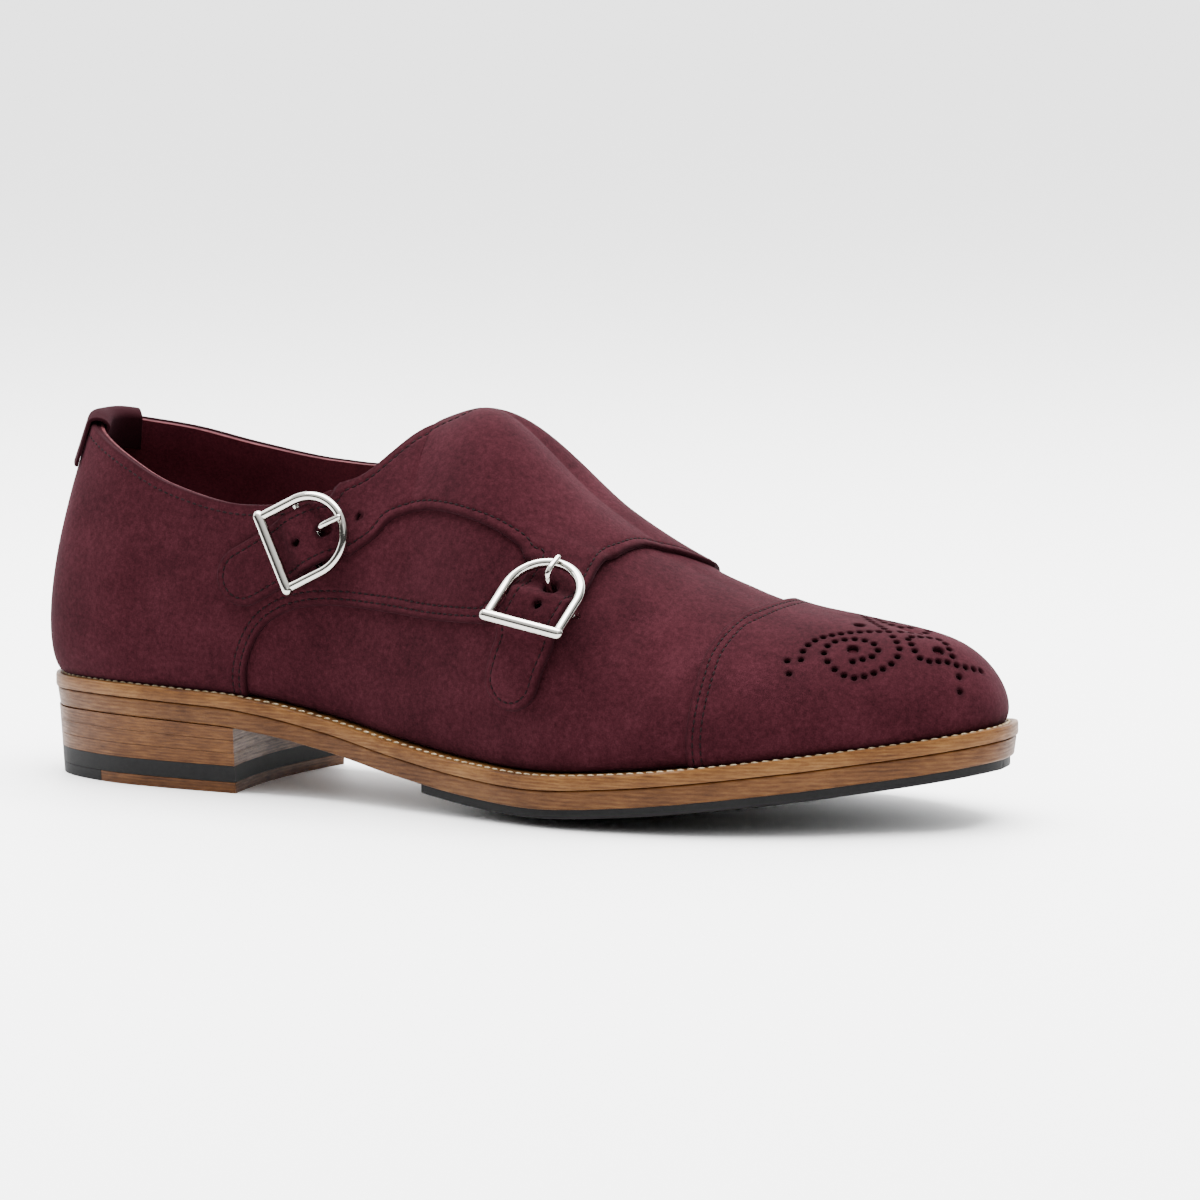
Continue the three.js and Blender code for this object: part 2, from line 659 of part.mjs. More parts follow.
// A buckle's own frame: along from its end bar to its bow, across the strap, and out from the foot.
// It is tilted with the foot under it, and raised until all of it clears the strap.
function buckleFrame(strap) {
  const rest = quarterLift + strapWall + buckleClear + wireRadius;
  const bar = seat(strap.bar, rest);
  const apex = seat(strap.apex, rest);
  const along = apex.point.clone().sub(bar.point).normalize();
  const roughly = along.clone().cross(bar.normal).negate();
  const sides = [-strapWidth / 2, strapWidth / 2].map((aside) => {
    const over = bar.point.clone().addScaledVector(roughly, aside);
    return seat(sideShare(over), rest).point;
  });
  const out = along.clone().cross(sides[1].sub(sides[0])).normalize();
  const across = out.clone().cross(along);
  const origin = bar.point.clone();
  const place = (alongBy, acrossBy, outBy) => origin.clone().addScaledVector(along, alongBy)
    .addScaledVector(across, acrossBy).addScaledVector(out, outBy);
  const levelAt = (spot, lift) => {
    let under = seat(sideShare(spot.clone().addScaledVector(out, -rest)), 0);
    let height = 0;
    for (let round = 0; round < 4 && under; round += 1) {
      height = spot.clone().sub(under.point).dot(under.normal);
      under = seat(sideShare(spot.clone().addScaledVector(under.normal, -height)), 0);
    }
    return under ? (lift - height) / under.normal.dot(out) : -Infinity;
  };
  const rim = [place(0, -strapWidth / 2, 0), place(0, strapWidth / 2, 0), ...bowLine(place)];
  origin.addScaledVector(out, Math.max(...rim.map((spot) => levelAt(spot, rest))));
  const middle = legLength - centreBarRadius;
  const levels = [-strapWidth / 2, 0, strapWidth / 2, -bowRadius, bowRadius]
    .map((aside) => levelAt(place(middle, aside, 0), quarterLift + centreBarRadius));
  const barLevel = Math.max(...levels);
  return { place, along, middle, barLevel, barRise: barLevel - Math.min(...levels.slice(0, 3)) };
}

function bowLine(place) {
  const turns = 8;
  return Array.from({ length: turns + 1 }, (_, turn) => {
    const angle = Math.PI * turn / turns;
    return place(legLength + bowRadius * Math.sin(angle), -bowRadius * Math.cos(angle), 0);
  });
}

function roundRod(points, radius, steps) {
  const sides = 8;
  const section = new THREE.Shape(Array.from({ length: sides }, (_, index) => {
    const angle = 2 * Math.PI * index / sides;
    return new THREE.Vector2(radius * Math.cos(angle), radius * Math.sin(angle));
  }));
  const path = new THREE.CatmullRomCurve3(points, false, 'centripetal');
  return solidOf(new THREE.ExtrudeGeometry(section, { steps, bevelEnabled: false, extrudePath: path }));
}

function makeBuckle(strap) {
  const { place, middle, barLevel } = buckleFrame(strap);
  const bow = [place(0, -bowRadius, 0), place(legLength / 2, -bowRadius, 0), ...bowLine(place),
    place(legLength / 2, bowRadius, 0), place(0, bowRadius, 0)];
  const thicker = barRadius - wireRadius;
  const endBar = [place(0, -barLength / 2, thicker), place(0, barLength / 2, thicker)];
  const centre = [place(middle, -bowRadius, 0), place(middle, -bowRadius, centreBarCorner * barLevel),
    place(middle, -centreBarCorner * bowRadius, barLevel), place(middle, centreBarCorner * bowRadius, barLevel),
    place(middle, bowRadius, centreBarCorner * barLevel), place(middle, bowRadius, 0)];
  return roundRod(bow, wireRadius, 16).add(roundRod(endBar, barRadius, 1))
    .add(roundRod(centre, centreBarRadius, 9));
}

const prongStart = centreBarRadius + fitGap + prongRadius;

function prongPath(strap) {
  const { place, middle, barLevel } = buckleFrame(strap);
  const top = wireRadius + prongRadius + fitGap;
  const start = middle + prongStart;
  return [place(start, 0, barLevel), place(start + prongRun, 0, barLevel),
    place(start + prongRun + prongClimb, 0, top), place(legLength + bowRadius + wireRadius, 0, top)];
}

// A strap is a band that follows the form, lifted over its buckle's centre bar
function makeStrap(strap) {
  const frame = buckleFrame(strap);
  const curve = new THREE.SplineCurve(strap.line.map(([at, rise]) => new THREE.Vector2(at, rise)));
  const stations = 21;
  const middles = curve.getSpacedPoints(stations).map((spot) => seat([spot.x, spot.y], 0));
  const barPoint = frame.place(0, 0, 0);
  const end = middles[stations].point;
  const cells = 4;
  const vertices = [[], []];
  middles.forEach((middle, index) => {
    const next = middles[Math.min(index + 1, stations)].point;
    const before = middles[Math.max(index - 1, 0)].point;
    const across = middle.normal.clone().cross(next.clone().sub(before)).normalize();
    const reach = middle.point.clone().sub(barPoint).dot(frame.along);
    const rise = ramp(reach, riseStart, legLength - riseClear);
    const fall = ramp(reach, legLength + fallStart, legLength + fallStart + fallLength);
    const tail = ramp(-reach, tailStart, tailStart + tailLength);
    const lift = THREE.MathUtils.lerp(quarterLift, strap.tailLift, tail)
      + (strapSlack + frame.barRise) * rise * (1 - fall);
    const free = ramp(middle.point.distanceTo(middles[0].point), rootLength, rootLength + rootBlend);
    const fromEnd = middle.point.distanceTo(end) / (strapWidth / 2);
    const narrow = fromEnd < 1 ? Math.sqrt(Math.max(1 - (1 - fromEnd) ** 2, 0.02)) : 1;
    for (let cell = 0; cell <= cells; cell += 1) {
      const aside = (cell / cells - 0.5) * strapWidth * narrow;
      const spot = seat(sideShare(middle.point.clone().addScaledVector(across, aside)), 0);
      const root = saddleLift(spot.point) + rootSink;
      const rootWall = overlayWall - 2 * rootSink;
      [[root, lift], [root + rootWall, lift + strapWall]].forEach(([from, to], level) => {
        const height = THREE.MathUtils.lerp(from, to, free);
        vertices[level].push(spot.point.clone().addScaledVector(spot.normal, height));
      });
    }
  });
  return closedSolid(vertices.flat(), bandFaces(stations + 1, cells + 1));
}

// Faces of a slab whose lower and upper points are rows of the same length
function bandFaces(rows, row) {
  const total = rows * row;
  const faces = [];
  const quad = (a, b, c, d) => faces.push([a, b, c], [a, c, d]);
  for (let i = 0; i + 1 < rows; i += 1) {
    for (let cell = 0; cell + 1 < row; cell += 1) {
      const spot = i * row + cell;
      quad(spot, spot + 1, spot + row + 1, spot + row);
      quad(spot + total, spot + row + total, spot + row + 1 + total, spot + 1 + total);
    }
    const near = i * row;
    quad(near, near + row, near + row + total, near + total);
    const far = near + row - 1;
    quad(far, far + total, far + row + total, far + row);
  }
  const last = (rows - 1) * row;
  for (let cell = 0; cell + 1 < row; cell += 1) {
    quad(cell, cell + total, cell + 1 + total, cell + 1);
    quad(last + cell, last + cell + 1, last + cell + 1 + total, last + cell + total);
  }
  return faces;
}

function makeSaddle() {
  let saddle = makeSaddleBody();
  straps.forEach((strap) => {
    const { place, middle } = buckleFrame(strap);
    saddle = saddle.add(makeStrap(strap));
    const hole = middle + prongStart + prongRun + prongClimb / 2;
    const reach = strapWall * 4;
    saddle = saddle.subtract(roundRod([place(hole, 0, -reach), place(hole, 0, reach)], holeRadius, 1));
  });
  return saddle;
}

// The pull tab folds over the collar at the back seam
function makeHeelTab() {
  const places = [-1.7, -1.3, -0.9, -0.45, 0, 0.45, 0.9, 1.3, 1.7];
  const outer = overlayWall + fitGap + tabClear;
  const inner = -upperWall - tabClear;
  const vertices = [];
  places.forEach((place) => {
    const spot = (place + whole) % whole;
    const [low, inside, top] = [tabHeight, tabHeight * 0.7, 0].map((drop) => dropPoint(spot, drop));
    const step = 0.05;
    const along = topPoint(spot + step > whole ? spot + step - whole : spot + step)
      .sub(topPoint(spot - step < 0 ? spot - step + whole : spot - step));
    const up = top.clone().sub(low).normalize();
    const out = along.cross(up).normalize();
    const at = (base, away, rise) => base.clone().addScaledVector(out, away).addScaledVector(up, rise);
    vertices.push(at(low, outer, 0), at(top, outer, fitGap), at(top, inner, fitGap), at(inside, inner, 0),
      at(inside, inner - tabWall, 0), at(top, inner - tabWall, fitGap + tabWall),
      at(top, outer + tabWall, fitGap + tabWall), at(low, outer + tabWall, 0));
  });
  const sides = 8;
  const faces = ringFaces(places.length, sides, false);
  const last = (places.length - 1) * sides;
  [[0, 1, 6, 7], [1, 2, 5, 6], [2, 3, 4, 5]].forEach(([a, b, c, d]) => {
    faces.push([a, c, b], [a, d, c], [last + a, last + b, last + c], [last + a, last + c, last + d]);
  });
  return closedSolid(vertices, faces);
}

// A point of the form a given drop below its top edge
function dropPoint(place, drop) {
  const line = formLine(place, [0, 0.25, 0.5, 0.75, 1]);
  let length = 0;
  for (let i = 1; i < line.length; i += 1) length += line[i].distanceTo(line[i - 1]);
  return formLine(place, [1 - drop / length])[0];
}

addPiece('outsole', geometryOf(makeOutsole()), looks.tan);
addPiece('welt', geometryOf(makeWelt()), looks.tan);
addPiece('forepart_rubber', geometryOf(makeForepartRubber()), looks.rubber);
addPiece('insole', geometryOf(makeInsole()), looks.lining);
for (let index = 0; index < liftCount; index += 1) {
  addPiece(`heel_lift_${index + 1}`, geometryOf(makeHeelLift(index)), looks.tan);
}
addPiece('heel_black_lift', geometryOf(heelSlab(() => topPieceWall + fitGap, () => blackLiftTop)), looks.rubber);
addPiece('top_piece_leather', geometryOf(makeTopPiece(topPieceSplit + seamGap, heelLength)), looks.tan);
addPiece('top_piece_rubber', geometryOf(makeTopPiece(heelEnd, topPieceSplit - seamGap)), looks.rubber);
addPiece('upper', geometryOf(makeUpper()), looks.suede);
addPiece('toe_cap', geometryOf(makeToeCap()), looks.suede);
addPiece('outer_quarter', geometryOf(makeOuterQuarter()), looks.suede);
addPiece('saddle', geometryOf(makeSaddle()), looks.suede);
addPiece('tongue', geometryOf(makeTongue()), looks.suede);
addPiece('heel_tab', geometryOf(makeHeelTab()), looks.suede);
straps.forEach((strap) => {
  addPiece(`buckle_${strap.name}`, geometryOf(makeBuckle(strap)), looks.silver);
  addPiece(`prong_${strap.name}`, geometryOf(roundRod(prongPath(strap), prongRadius, 6)), looks.silver);
});

// The origin is the middle of the shoe's box, on the floor
const box = new THREE.Box3().setFromObject(group);
group.position.set(-(box.min.x + box.max.x) / 2, -(box.min.y + box.max.y) / 2, 0);

export default group;
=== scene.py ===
import math
import bpy
import numpy as np
from mathutils import Matrix, Vector
from mathutils.bvhtree import BVHTree


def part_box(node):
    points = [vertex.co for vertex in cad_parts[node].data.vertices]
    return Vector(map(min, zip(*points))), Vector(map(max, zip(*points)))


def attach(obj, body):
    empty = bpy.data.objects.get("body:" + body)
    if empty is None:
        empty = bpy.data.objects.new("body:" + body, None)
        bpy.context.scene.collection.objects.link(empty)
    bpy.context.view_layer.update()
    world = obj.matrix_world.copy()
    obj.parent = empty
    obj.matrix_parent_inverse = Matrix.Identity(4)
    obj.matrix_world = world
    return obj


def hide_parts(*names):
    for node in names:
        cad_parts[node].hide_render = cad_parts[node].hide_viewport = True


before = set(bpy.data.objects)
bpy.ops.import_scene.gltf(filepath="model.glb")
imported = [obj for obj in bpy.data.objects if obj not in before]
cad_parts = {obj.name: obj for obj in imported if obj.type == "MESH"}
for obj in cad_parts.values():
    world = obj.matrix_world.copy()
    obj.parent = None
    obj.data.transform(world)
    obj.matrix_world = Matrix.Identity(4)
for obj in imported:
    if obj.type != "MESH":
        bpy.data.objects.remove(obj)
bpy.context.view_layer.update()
print("frame loaded")

# The last: shares of its three main sizes, heel to toe, as the solids have them. Millimetres here.
last = {
    "soleLength": 297.5, "ballWidth": 108.0, "instepHeight": 106.0,
    "heelRise": 17.2, "toeSpring": 16.2, "fitGap": 0.3, "featherGap": 0.75,
    "upperWall": 2.2, "overlayWall": 1.2, "strapWall": 1.6, "tongueWall": 1.8,
    "outsoleWall": 5.2, "weltWall": 3.8, "insoleWall": 3.2, "rubberWall": 2.3, "flatSpot": 0.35,
    "edgeLift": 2.9, "weltReach": 5.4, "throatSection": 7,
}
soleLength, ballWidth, instepHeight = last["soleLength"], last["ballWidth"], last["instepHeight"]
fitGap, upperWall, overlayWall = last["fitGap"], last["upperWall"], last["overlayWall"]

sectionColumns = ["at", "outer", "inner", "topAt", "topOuter", "topInner", "riseOuter", "riseInner",
                  "bulge", "round", "weltSeat"]
sections = np.array([
    [0.000, 0.000, 0.000, 0.047, 0.000, 0.000, 0.965, 0.965, 1.9, 1.00, 0.74],
    [0.010, 0.115, 0.115, 0.052, 0.062, 0.062, 0.962, 0.964, 1.9, 1.00, 0.74],
    [0.042, 0.215, 0.215, 0.068, 0.126, 0.124, 0.938, 0.950, 2.0, 1.00, 0.78],
    [0.105, 0.288, 0.280, 0.112, 0.194, 0.184, 0.885, 0.925, 1.7, 1.00, 0.83],
    [0.175, 0.313, 0.300, 0.175, 0.234, 0.214, 0.815, 0.885, 1.4, 1.00, 0.89],
    [0.265, 0.321, 0.282, 0.262, 0.250, 0.214, 0.772, 0.850, 1.3, 1.05, 0.89],
    [0.355, 0.325, 0.252, 0.345, 0.218, 0.170, 0.815, 0.858, 1.3, 1.30, 0.93],
    [0.443, 0.375, 0.250, 0.424, 0.000, 0.000, 0.988, 0.988, 1.3, 1.85, 0.96],
    [0.533, 0.438, 0.308, 0.489, 0.000, 0.000, 1.003, 1.003, 1.3, 2.00, 1.02],
    [0.615, 0.488, 0.392, 0.584, 0.000, 0.000, 0.788, 0.788, 1.3, 2.05, 1.11],
    [0.697, 0.485, 0.453, 0.673, 0.000, 0.000, 0.640, 0.640, 1.3, 2.10, 1.11],
    [0.775, 0.445, 0.465, 0.765, 0.000, 0.000, 0.545, 0.545, 1.3, 2.20, 1.11],
    [0.858, 0.349, 0.425, 0.835, 0.000, 0.000, 0.508, 0.508, 1.3, 2.30, 1.11],
    [0.929, 0.212, 0.335, 0.880, 0.000, 0.000, 0.488, 0.488, 1.3, 2.40, 1.02],
    [0.980, 0.090, 0.235, 0.898, 0.000, 0.000, 0.476, 0.476, 1.0, 2.40, 1.05],
    [1.000, -0.062, 0.062, 0.905, 0.000, 0.000, 0.470, 0.470, 0.9, 2.40, 1.12],
])
ringSteps = [1, 2, 2, 2, 2, 2, 3, 3, 3, 2, 2, 2, 2, 1, 2]  # how finely the solids divide each section
soleLine = [(0, 1, 0), (0.1, 1.035, 0), (0.2, 1, 0), (0.265, 0.935, 0), (0.35, 0.67, 0), (0.44, 0.34, 0),
            (0.53, 0.09, 0), (0.61, 0, 0), (0.7, 0, 0.11), (0.78, 0, 0.29), (0.86, 0, 0.51), (0.93, 0, 0.73),
            (1, 0, 1)]
liftLine = [(0.27, 0), (0.4, 0.35), (0.58, 1), (0.76, 1), (0.9, 0.6), (1, 0)]
ridgeLine = [(0.2, 0), (0.49, 0.010), (0.68, 0.028), (0.91, 0.056), (1, 0.060)]

half = len(sections) - 1
whole = 2 * half
throatSection = last["throatSection"]


def column(name):
    return sections[:, sectionColumns.index(name)]


def blendFour(before, start, end, after, share):
    return 0.5 * (2 * start + (end - before) * share
                  + (2 * before - 5 * start + 4 * end - after) * share ** 2
                  + (3 * start - before - 3 * end + after) * share ** 3)


def smoothRing(values, place):
    values = np.asarray(values, float)
    count = len(values)
    place = np.asarray(place, float) % count
    index = np.floor(place).astype(int)
    read = [values[(index + step) % count] for step in (-1, 0, 1, 2)]
    return blendFour(*read, place - index)


def smoothLine(values, place):
    values = np.asarray(values, float)
    place = np.asarray(place, float)
    index = np.clip(np.floor(place).astype(int), 0, len(values) - 2)
    padded = np.concatenate([[2 * values[0] - values[1]], values, [2 * values[-1] - values[-2]]])
    return blendFour(*[padded[index + step] for step in range(4)], place - index)


def lineValue(rows, at, entry=1):
    ats = np.array([row[0] for row in rows])
    values = [row[entry] for row in rows]
    at = np.clip(np.asarray(at, float), ats[0], ats[-1])
    after = np.clip(np.searchsorted(ats, at, side="right"), 1, len(ats) - 1)
    share = (at - ats[after - 1]) / (ats[after] - ats[after - 1])
    return smoothLine(values, after - 1 + share)


def ramp(value, low, high):
    share = np.clip((value - low) / (high - low), 0, 1)
    return share * share * (3 - 2 * share)


def lengthAlong(line):
    return np.concatenate([[0], np.cumsum(np.linalg.norm(np.diff(line, axis=0), axis=1))])


# Points of a line at given lengths along it
def alongLine(line, length, goals):
    return np.stack([np.interp(goals, length, line[:, axis]) for axis in range(line.shape[1])], -1)


def unit(vectors):
    return vectors / np.maximum(np.linalg.norm(vectors, axis=-1, keepdims=True), 1e-12)


def aroundRing(outer, inner):
    return np.concatenate([outer, inner[1:-1][::-1]])


outlineAt = aroundRing(column("at"), column("at"))
outlineAcross = aroundRing(-column("outer"), column("inner"))
outlineAcross[half] = column("inner")[half]
ringOf = {name: aroundRing(column(name), column(name)) for name in ("weltSeat", "bulge", "round")}
collarPart = slice(0, throatSection + 1)
collarAt = aroundRing(column("topAt")[collarPart], column("topAt")[collarPart])
collarAcross = aroundRing(-column("topOuter")[collarPart], column("topInner")[collarPart])
collarRise = aroundRing(column("riseOuter")[collarPart], column("riseInner")[collarPart])


def outlinePoint(place):
    return np.stack([smoothRing(outlineAt, place) * soleLength,
                     smoothRing(outlineAcross, place) * ballWidth], -1)


def insetPoint(place, inset):
    along = unit(outlinePoint(np.asarray(place) + 0.01) - outlinePoint(np.asarray(place) - 0.01))
    square = np.stack([-along[..., 1], along[..., 0]], -1)
    return outlinePoint(place) + square * np.asarray(inset)[..., None]


def soleHeight(x):
    at = np.asarray(x) / soleLength
    return (last["rubberWall"] + fitGap - last["flatSpot"] + lineValue(soleLine, at, 1) * last["heelRise"]
            + lineValue(soleLine, at, 2) * last["toeSpring"])


def crossLift(x):
    return np.maximum(0, lineValue(liftLine, np.asarray(x) / soleLength)) * last["edgeLift"]


def ridgeSwing(x):
    return lineValue(ridgeLine, np.asarray(x) / soleLength) * ballWidth


def soleUnder(x, across):
    return soleHeight(x) + crossLift(x) * np.abs(across) ** 2.5


def bothSides(places):
    return np.concatenate([places, whole - places[1:-1][::-1]])


# A ring inside the outline, at a rise over the outsole's underside
def ringAt(places, inset, rise):
    spots = insetPoint(places, np.broadcast_to(inset, len(places)))
    return np.column_stack([spots, soleUnder(spots[:, 0], 1) + rise])


def weltSeat(place):
    return smoothRing(ringOf["weltSeat"], place) * last["weltReach"]


weltFoot = last["outsoleWall"] + fitGap  # the welt's underside over the outsole's
soleStack = weltFoot + last["weltWall"]


def topPoint(place):
    place = np.asarray(place, float)
    side = np.minimum(place, whole - place)
    spot = np.where(place <= half, side, 2 * throatSection - side)
    beyond = np.maximum(side - throatSection, 0)
    onRidge = side >= throatSection
    ridgeAt, ridgeRise = (smoothLine(column(name)[throatSection:], beyond) for name in ("topAt", "riseOuter"))
    x = np.where(onRidge, ridgeAt, smoothRing(collarAt, spot)) * soleLength
    rise = np.where(onRidge, ridgeRise, smoothRing(collarRise, spot))
    y = np.where(onRidge, 0, smoothRing(collarAcross, spot) * ballWidth) + ridgeSwing(x)
    return np.stack([x, y, rise * instepHeight], -1)


def formPoint(place, turn):
    foot = insetPoint(place, weltSeat(place))
    inward = unit(foot - outlinePoint(place))
    low = soleUnder(foot[..., 0], 1) + soleStack + last["featherGap"]
    top = topPoint(place)
    height = np.sin(turn * math.pi / 2)
    closing = np.maximum(np.cos(turn * math.pi / 2), 0) ** (2 / smoothRing(ringOf["round"], place))
    swell = smoothRing(ringOf["bulge"], place) * upperWall * np.sin(math.pi * np.sqrt(height))
    flat = foot * closing[..., None] + top[..., :2] * (1 - closing[..., None]) - inward * swell[..., None]
    return np.concatenate([flat, (low + (top[..., 2] - low) * height)[..., None]], -1)


# The solids' frame has its origin in the middle of the shoe's box. The welt's box gives the step to it.
coarsePlaces = np.concatenate([[0]] + [section + np.arange(1, steps + 1) / steps
                                       for section, steps in enumerate(ringSteps)])
coarsePlaces = np.concatenate([coarsePlaces, whole - coarsePlaces])
weltBox = np.array(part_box("welt")) * 1000
coarseOutline = outlinePoint(coarsePlaces)
shift = np.array([weltBox[1][0] - coarseOutline[:, 0].max(), weltBox[1][1] - coarseOutline[:, 1].max(), 0])
print("step to the solids' frame", shift.round(3))

# Creases pressed into the last: ends in side view as shares, half width and depth in millimetres
creases = [
    {"from": (0.655, 0.34), "to": (0.700, 0.60), "wide": 4.5, "deep": 0.45},
    {"from": (0.685, 0.28), "to": (0.735, 0.52), "wide": 5.0, "deep": 0.40},
    {"from": (0.500, 0.22), "to": (0.575, 0.30), "wide": 6.0, "deep": 0.35},
    {"from": (0.600, 0.16), "to": (0.680, 0.22), "wide": 5.0, "deep": 0.30},
    {"from": (0.135, 0.42), "to": (0.165, 0.62), "wide": 7.0, "deep": 0.50},
    {"from": (0.055, 0.70), "to": (0.130, 0.66), "wide": 6.0, "deep": 0.35},
    {"from": (0.390, 0.58), "to": (0.470, 0.63), "wide": 6.5, "deep": 0.45},
]


def distanceToSegment(spots, start, end):
    line = end - start
    share = np.clip(((spots - start) @ line) / (line @ line), 0, 1)
    return np.linalg.norm(spots - start - share[..., None] * line, axis=-1), share


def creaseDepth(points):
    side = points[:, [0, 2]]
    depth = np.zeros(len(points))
    for crease in creases:
        start = np.array(crease["from"]) * [soleLength, instepHeight]
        end = np.array(crease["to"]) * [soleLength, instepHeight]
        away, share = distanceToSegment(side, start, end)
        fade = np.sin(math.pi * np.clip(0.08 + 0.84 * share, 0, 1))
        trough = np.exp(-(away / crease["wide"]) ** 2)
        ridges = np.exp(-((away - 1.9 * crease["wide"]) / crease["wide"]) ** 2)
        depth += crease["deep"] * fade * (trough - 0.45 * ridges)
    return depth


def makeForm(columns, rows):
    fine = np.linspace(0, half, 2001)
    steps = sum(np.linalg.norm(np.diff(outlinePoint(run), axis=0), axis=1) for run in (fine, whole - fine))
    length = np.concatenate([[0], np.cumsum(steps)])
    sidePlaces = np.interp(np.linspace(0, length[-1], columns + 1), length, fine)
    sidePlaces[np.argmin(np.abs(sidePlaces - throatSection))] = throatSection
    places = bothSides(sidePlaces)
    count = len(places)
    turns = np.linspace(0, 1, 97)
    lines = formPoint(np.repeat(places[:, None], len(turns), 1), np.repeat(turns[None, :], count, 0))
    lengths = np.concatenate([np.zeros((count, 1)),
                              np.cumsum(np.linalg.norm(np.diff(lines, axis=1), axis=2), axis=1)], 1)
    shares = np.linspace(0, 1, rows + 1)
    grid = np.empty((count, rows + 1, 3))
    for index, line in enumerate(lines):
        grid[index] = alongLine(line, lengths[index], shares * lengths[index, -1])
    fromTop = (1 - shares)[None, :] * lengths[:, -1:]
    onRidge = np.minimum(places, whole - places) >= throatSection
    fromTop[onRidge] += 1000
    ids = np.arange(count * (rows + 1)).reshape(count, rows + 1)
    twin = (count - np.arange(count)) % count
    swap = onRidge & (np.arange(count) > twin)
    ids[swap, rows] = ids[twin[swap], rows]
    after = np.roll(ids, -1, axis=0)
    quads = np.stack([ids[:, :-1], after[:, :-1], after[:, 1:], ids[:, 1:]], -1).reshape(-1, 4)
    tris = np.concatenate([quads[:, [0, 1, 2]], quads[:, [0, 2, 3]]])
    tris = tris[(tris[:, 0] != tris[:, 1]) & (tris[:, 1] != tris[:, 2]) & (tris[:, 2] != tris[:, 0])]
    points = grid.reshape(-1, 3)
    normals = vertexNormals(points, tris)
    normals[ids[:, 0].ravel(), 2] = 0
    normals = unit(normals)
    points = points - normals * creaseDepth(points)[:, None]
    return {"points": points, "normals": normals, "tris": tris, "fromTop": fromTop.ravel()}


def vertexNormals(points, tris):
    normals = np.zeros_like(points)
    a, b, c = (points[tris[:, corner]] for corner in range(3))
    turned = np.cross(b - a, c - a)
    for corner in range(3):
        np.add.at(normals, tris[:, corner], turned)
    return unit(normals)


# Meshes

def addObject(name, data):
    made = bpy.data.objects.new(name, data)
    bpy.context.collection.objects.link(made)
    return made


def makeObject(name, points, faces, materials, faceMaterial=None, attributes=None, smoothAngle=35):
    mesh = bpy.data.meshes.new(name)
    placed = (np.asarray(points) + shift) / 1000
    mesh.from_pydata([tuple(point) for point in placed.tolist()], [], [list(map(int, face)) for face in faces])
    for material in materials:
        mesh.materials.append(material)
    if faceMaterial is not None:
        mesh.polygons.foreach_set("material_index", np.asarray(faceMaterial, dtype=np.int32))
    for label, values in (attributes or {}).items():
        layer = mesh.attributes.new(label, "FLOAT", "POINT")
        layer.data.foreach_set("value", np.asarray(values, dtype=np.float32))
    mesh.validate()
    mesh.shade_smooth()
    mesh.set_sharp_from_angle(angle=math.radians(smoothAngle))
    mesh.update()
    return addObject(name, mesh)


# Quads between rings of points that follow each other
def ringFaces(rings, sides, closed=False):
    return [[ring * sides + side, ring * sides + (side + 1) % sides,
             (ring + 1) % rings * sides + (side + 1) % sides, (ring + 1) % rings * sides + side]
            for ring in range(rings if closed else rings - 1) for side in range(sides)]


def gridFaces(rows, columns):
    return [[row * columns + column, (row + 1) * columns + column, (row + 1) * columns + column + 1,
             row * columns + column + 1] for row in range(rows - 1) for column in range(columns - 1)]


def joinShells(shells):
    points, faces, offset = [], [], 0
    for spots, sides in shells:
        points.append(spots)
        faces += [[index + offset for index in face] for face in sides]
        offset += len(spots)
    return np.concatenate(points), faces


def endFaces(rings, sides):
    return [list(range(sides))[::-1], [(rings - 1) * sides + side for side in range(sides)]]


def bake(piece):
    graph = bpy.context.evaluated_depsgraph_get()
    mesh = bpy.data.meshes.new_from_object(piece.evaluated_get(graph))
    old = piece.data
    piece.modifiers.clear()
    piece.data = mesh
    mesh.name = piece.name
    if old.users == 0:
        bpy.data.meshes.remove(old)
    return piece


def weld(piece, gap=0.02):
    piece.modifiers.new("weld", "WELD").merge_threshold = gap / 1000
    return bake(piece)


def softenEdges(piece, width, segments=3, angle=40):
    bevel = piece.modifiers.new("soft edges", "BEVEL")
    bevel.width = width / 1000
    bevel.segments = segments
    bevel.limit_method = "ANGLE"
    bevel.angle_limit = math.radians(angle)
    bevel.harden_normals = False
    return bake(piece)


def finishPiece(piece, slot, *nodes):
    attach(piece, "root")
    if nodes:
        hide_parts(*nodes)
    return piece


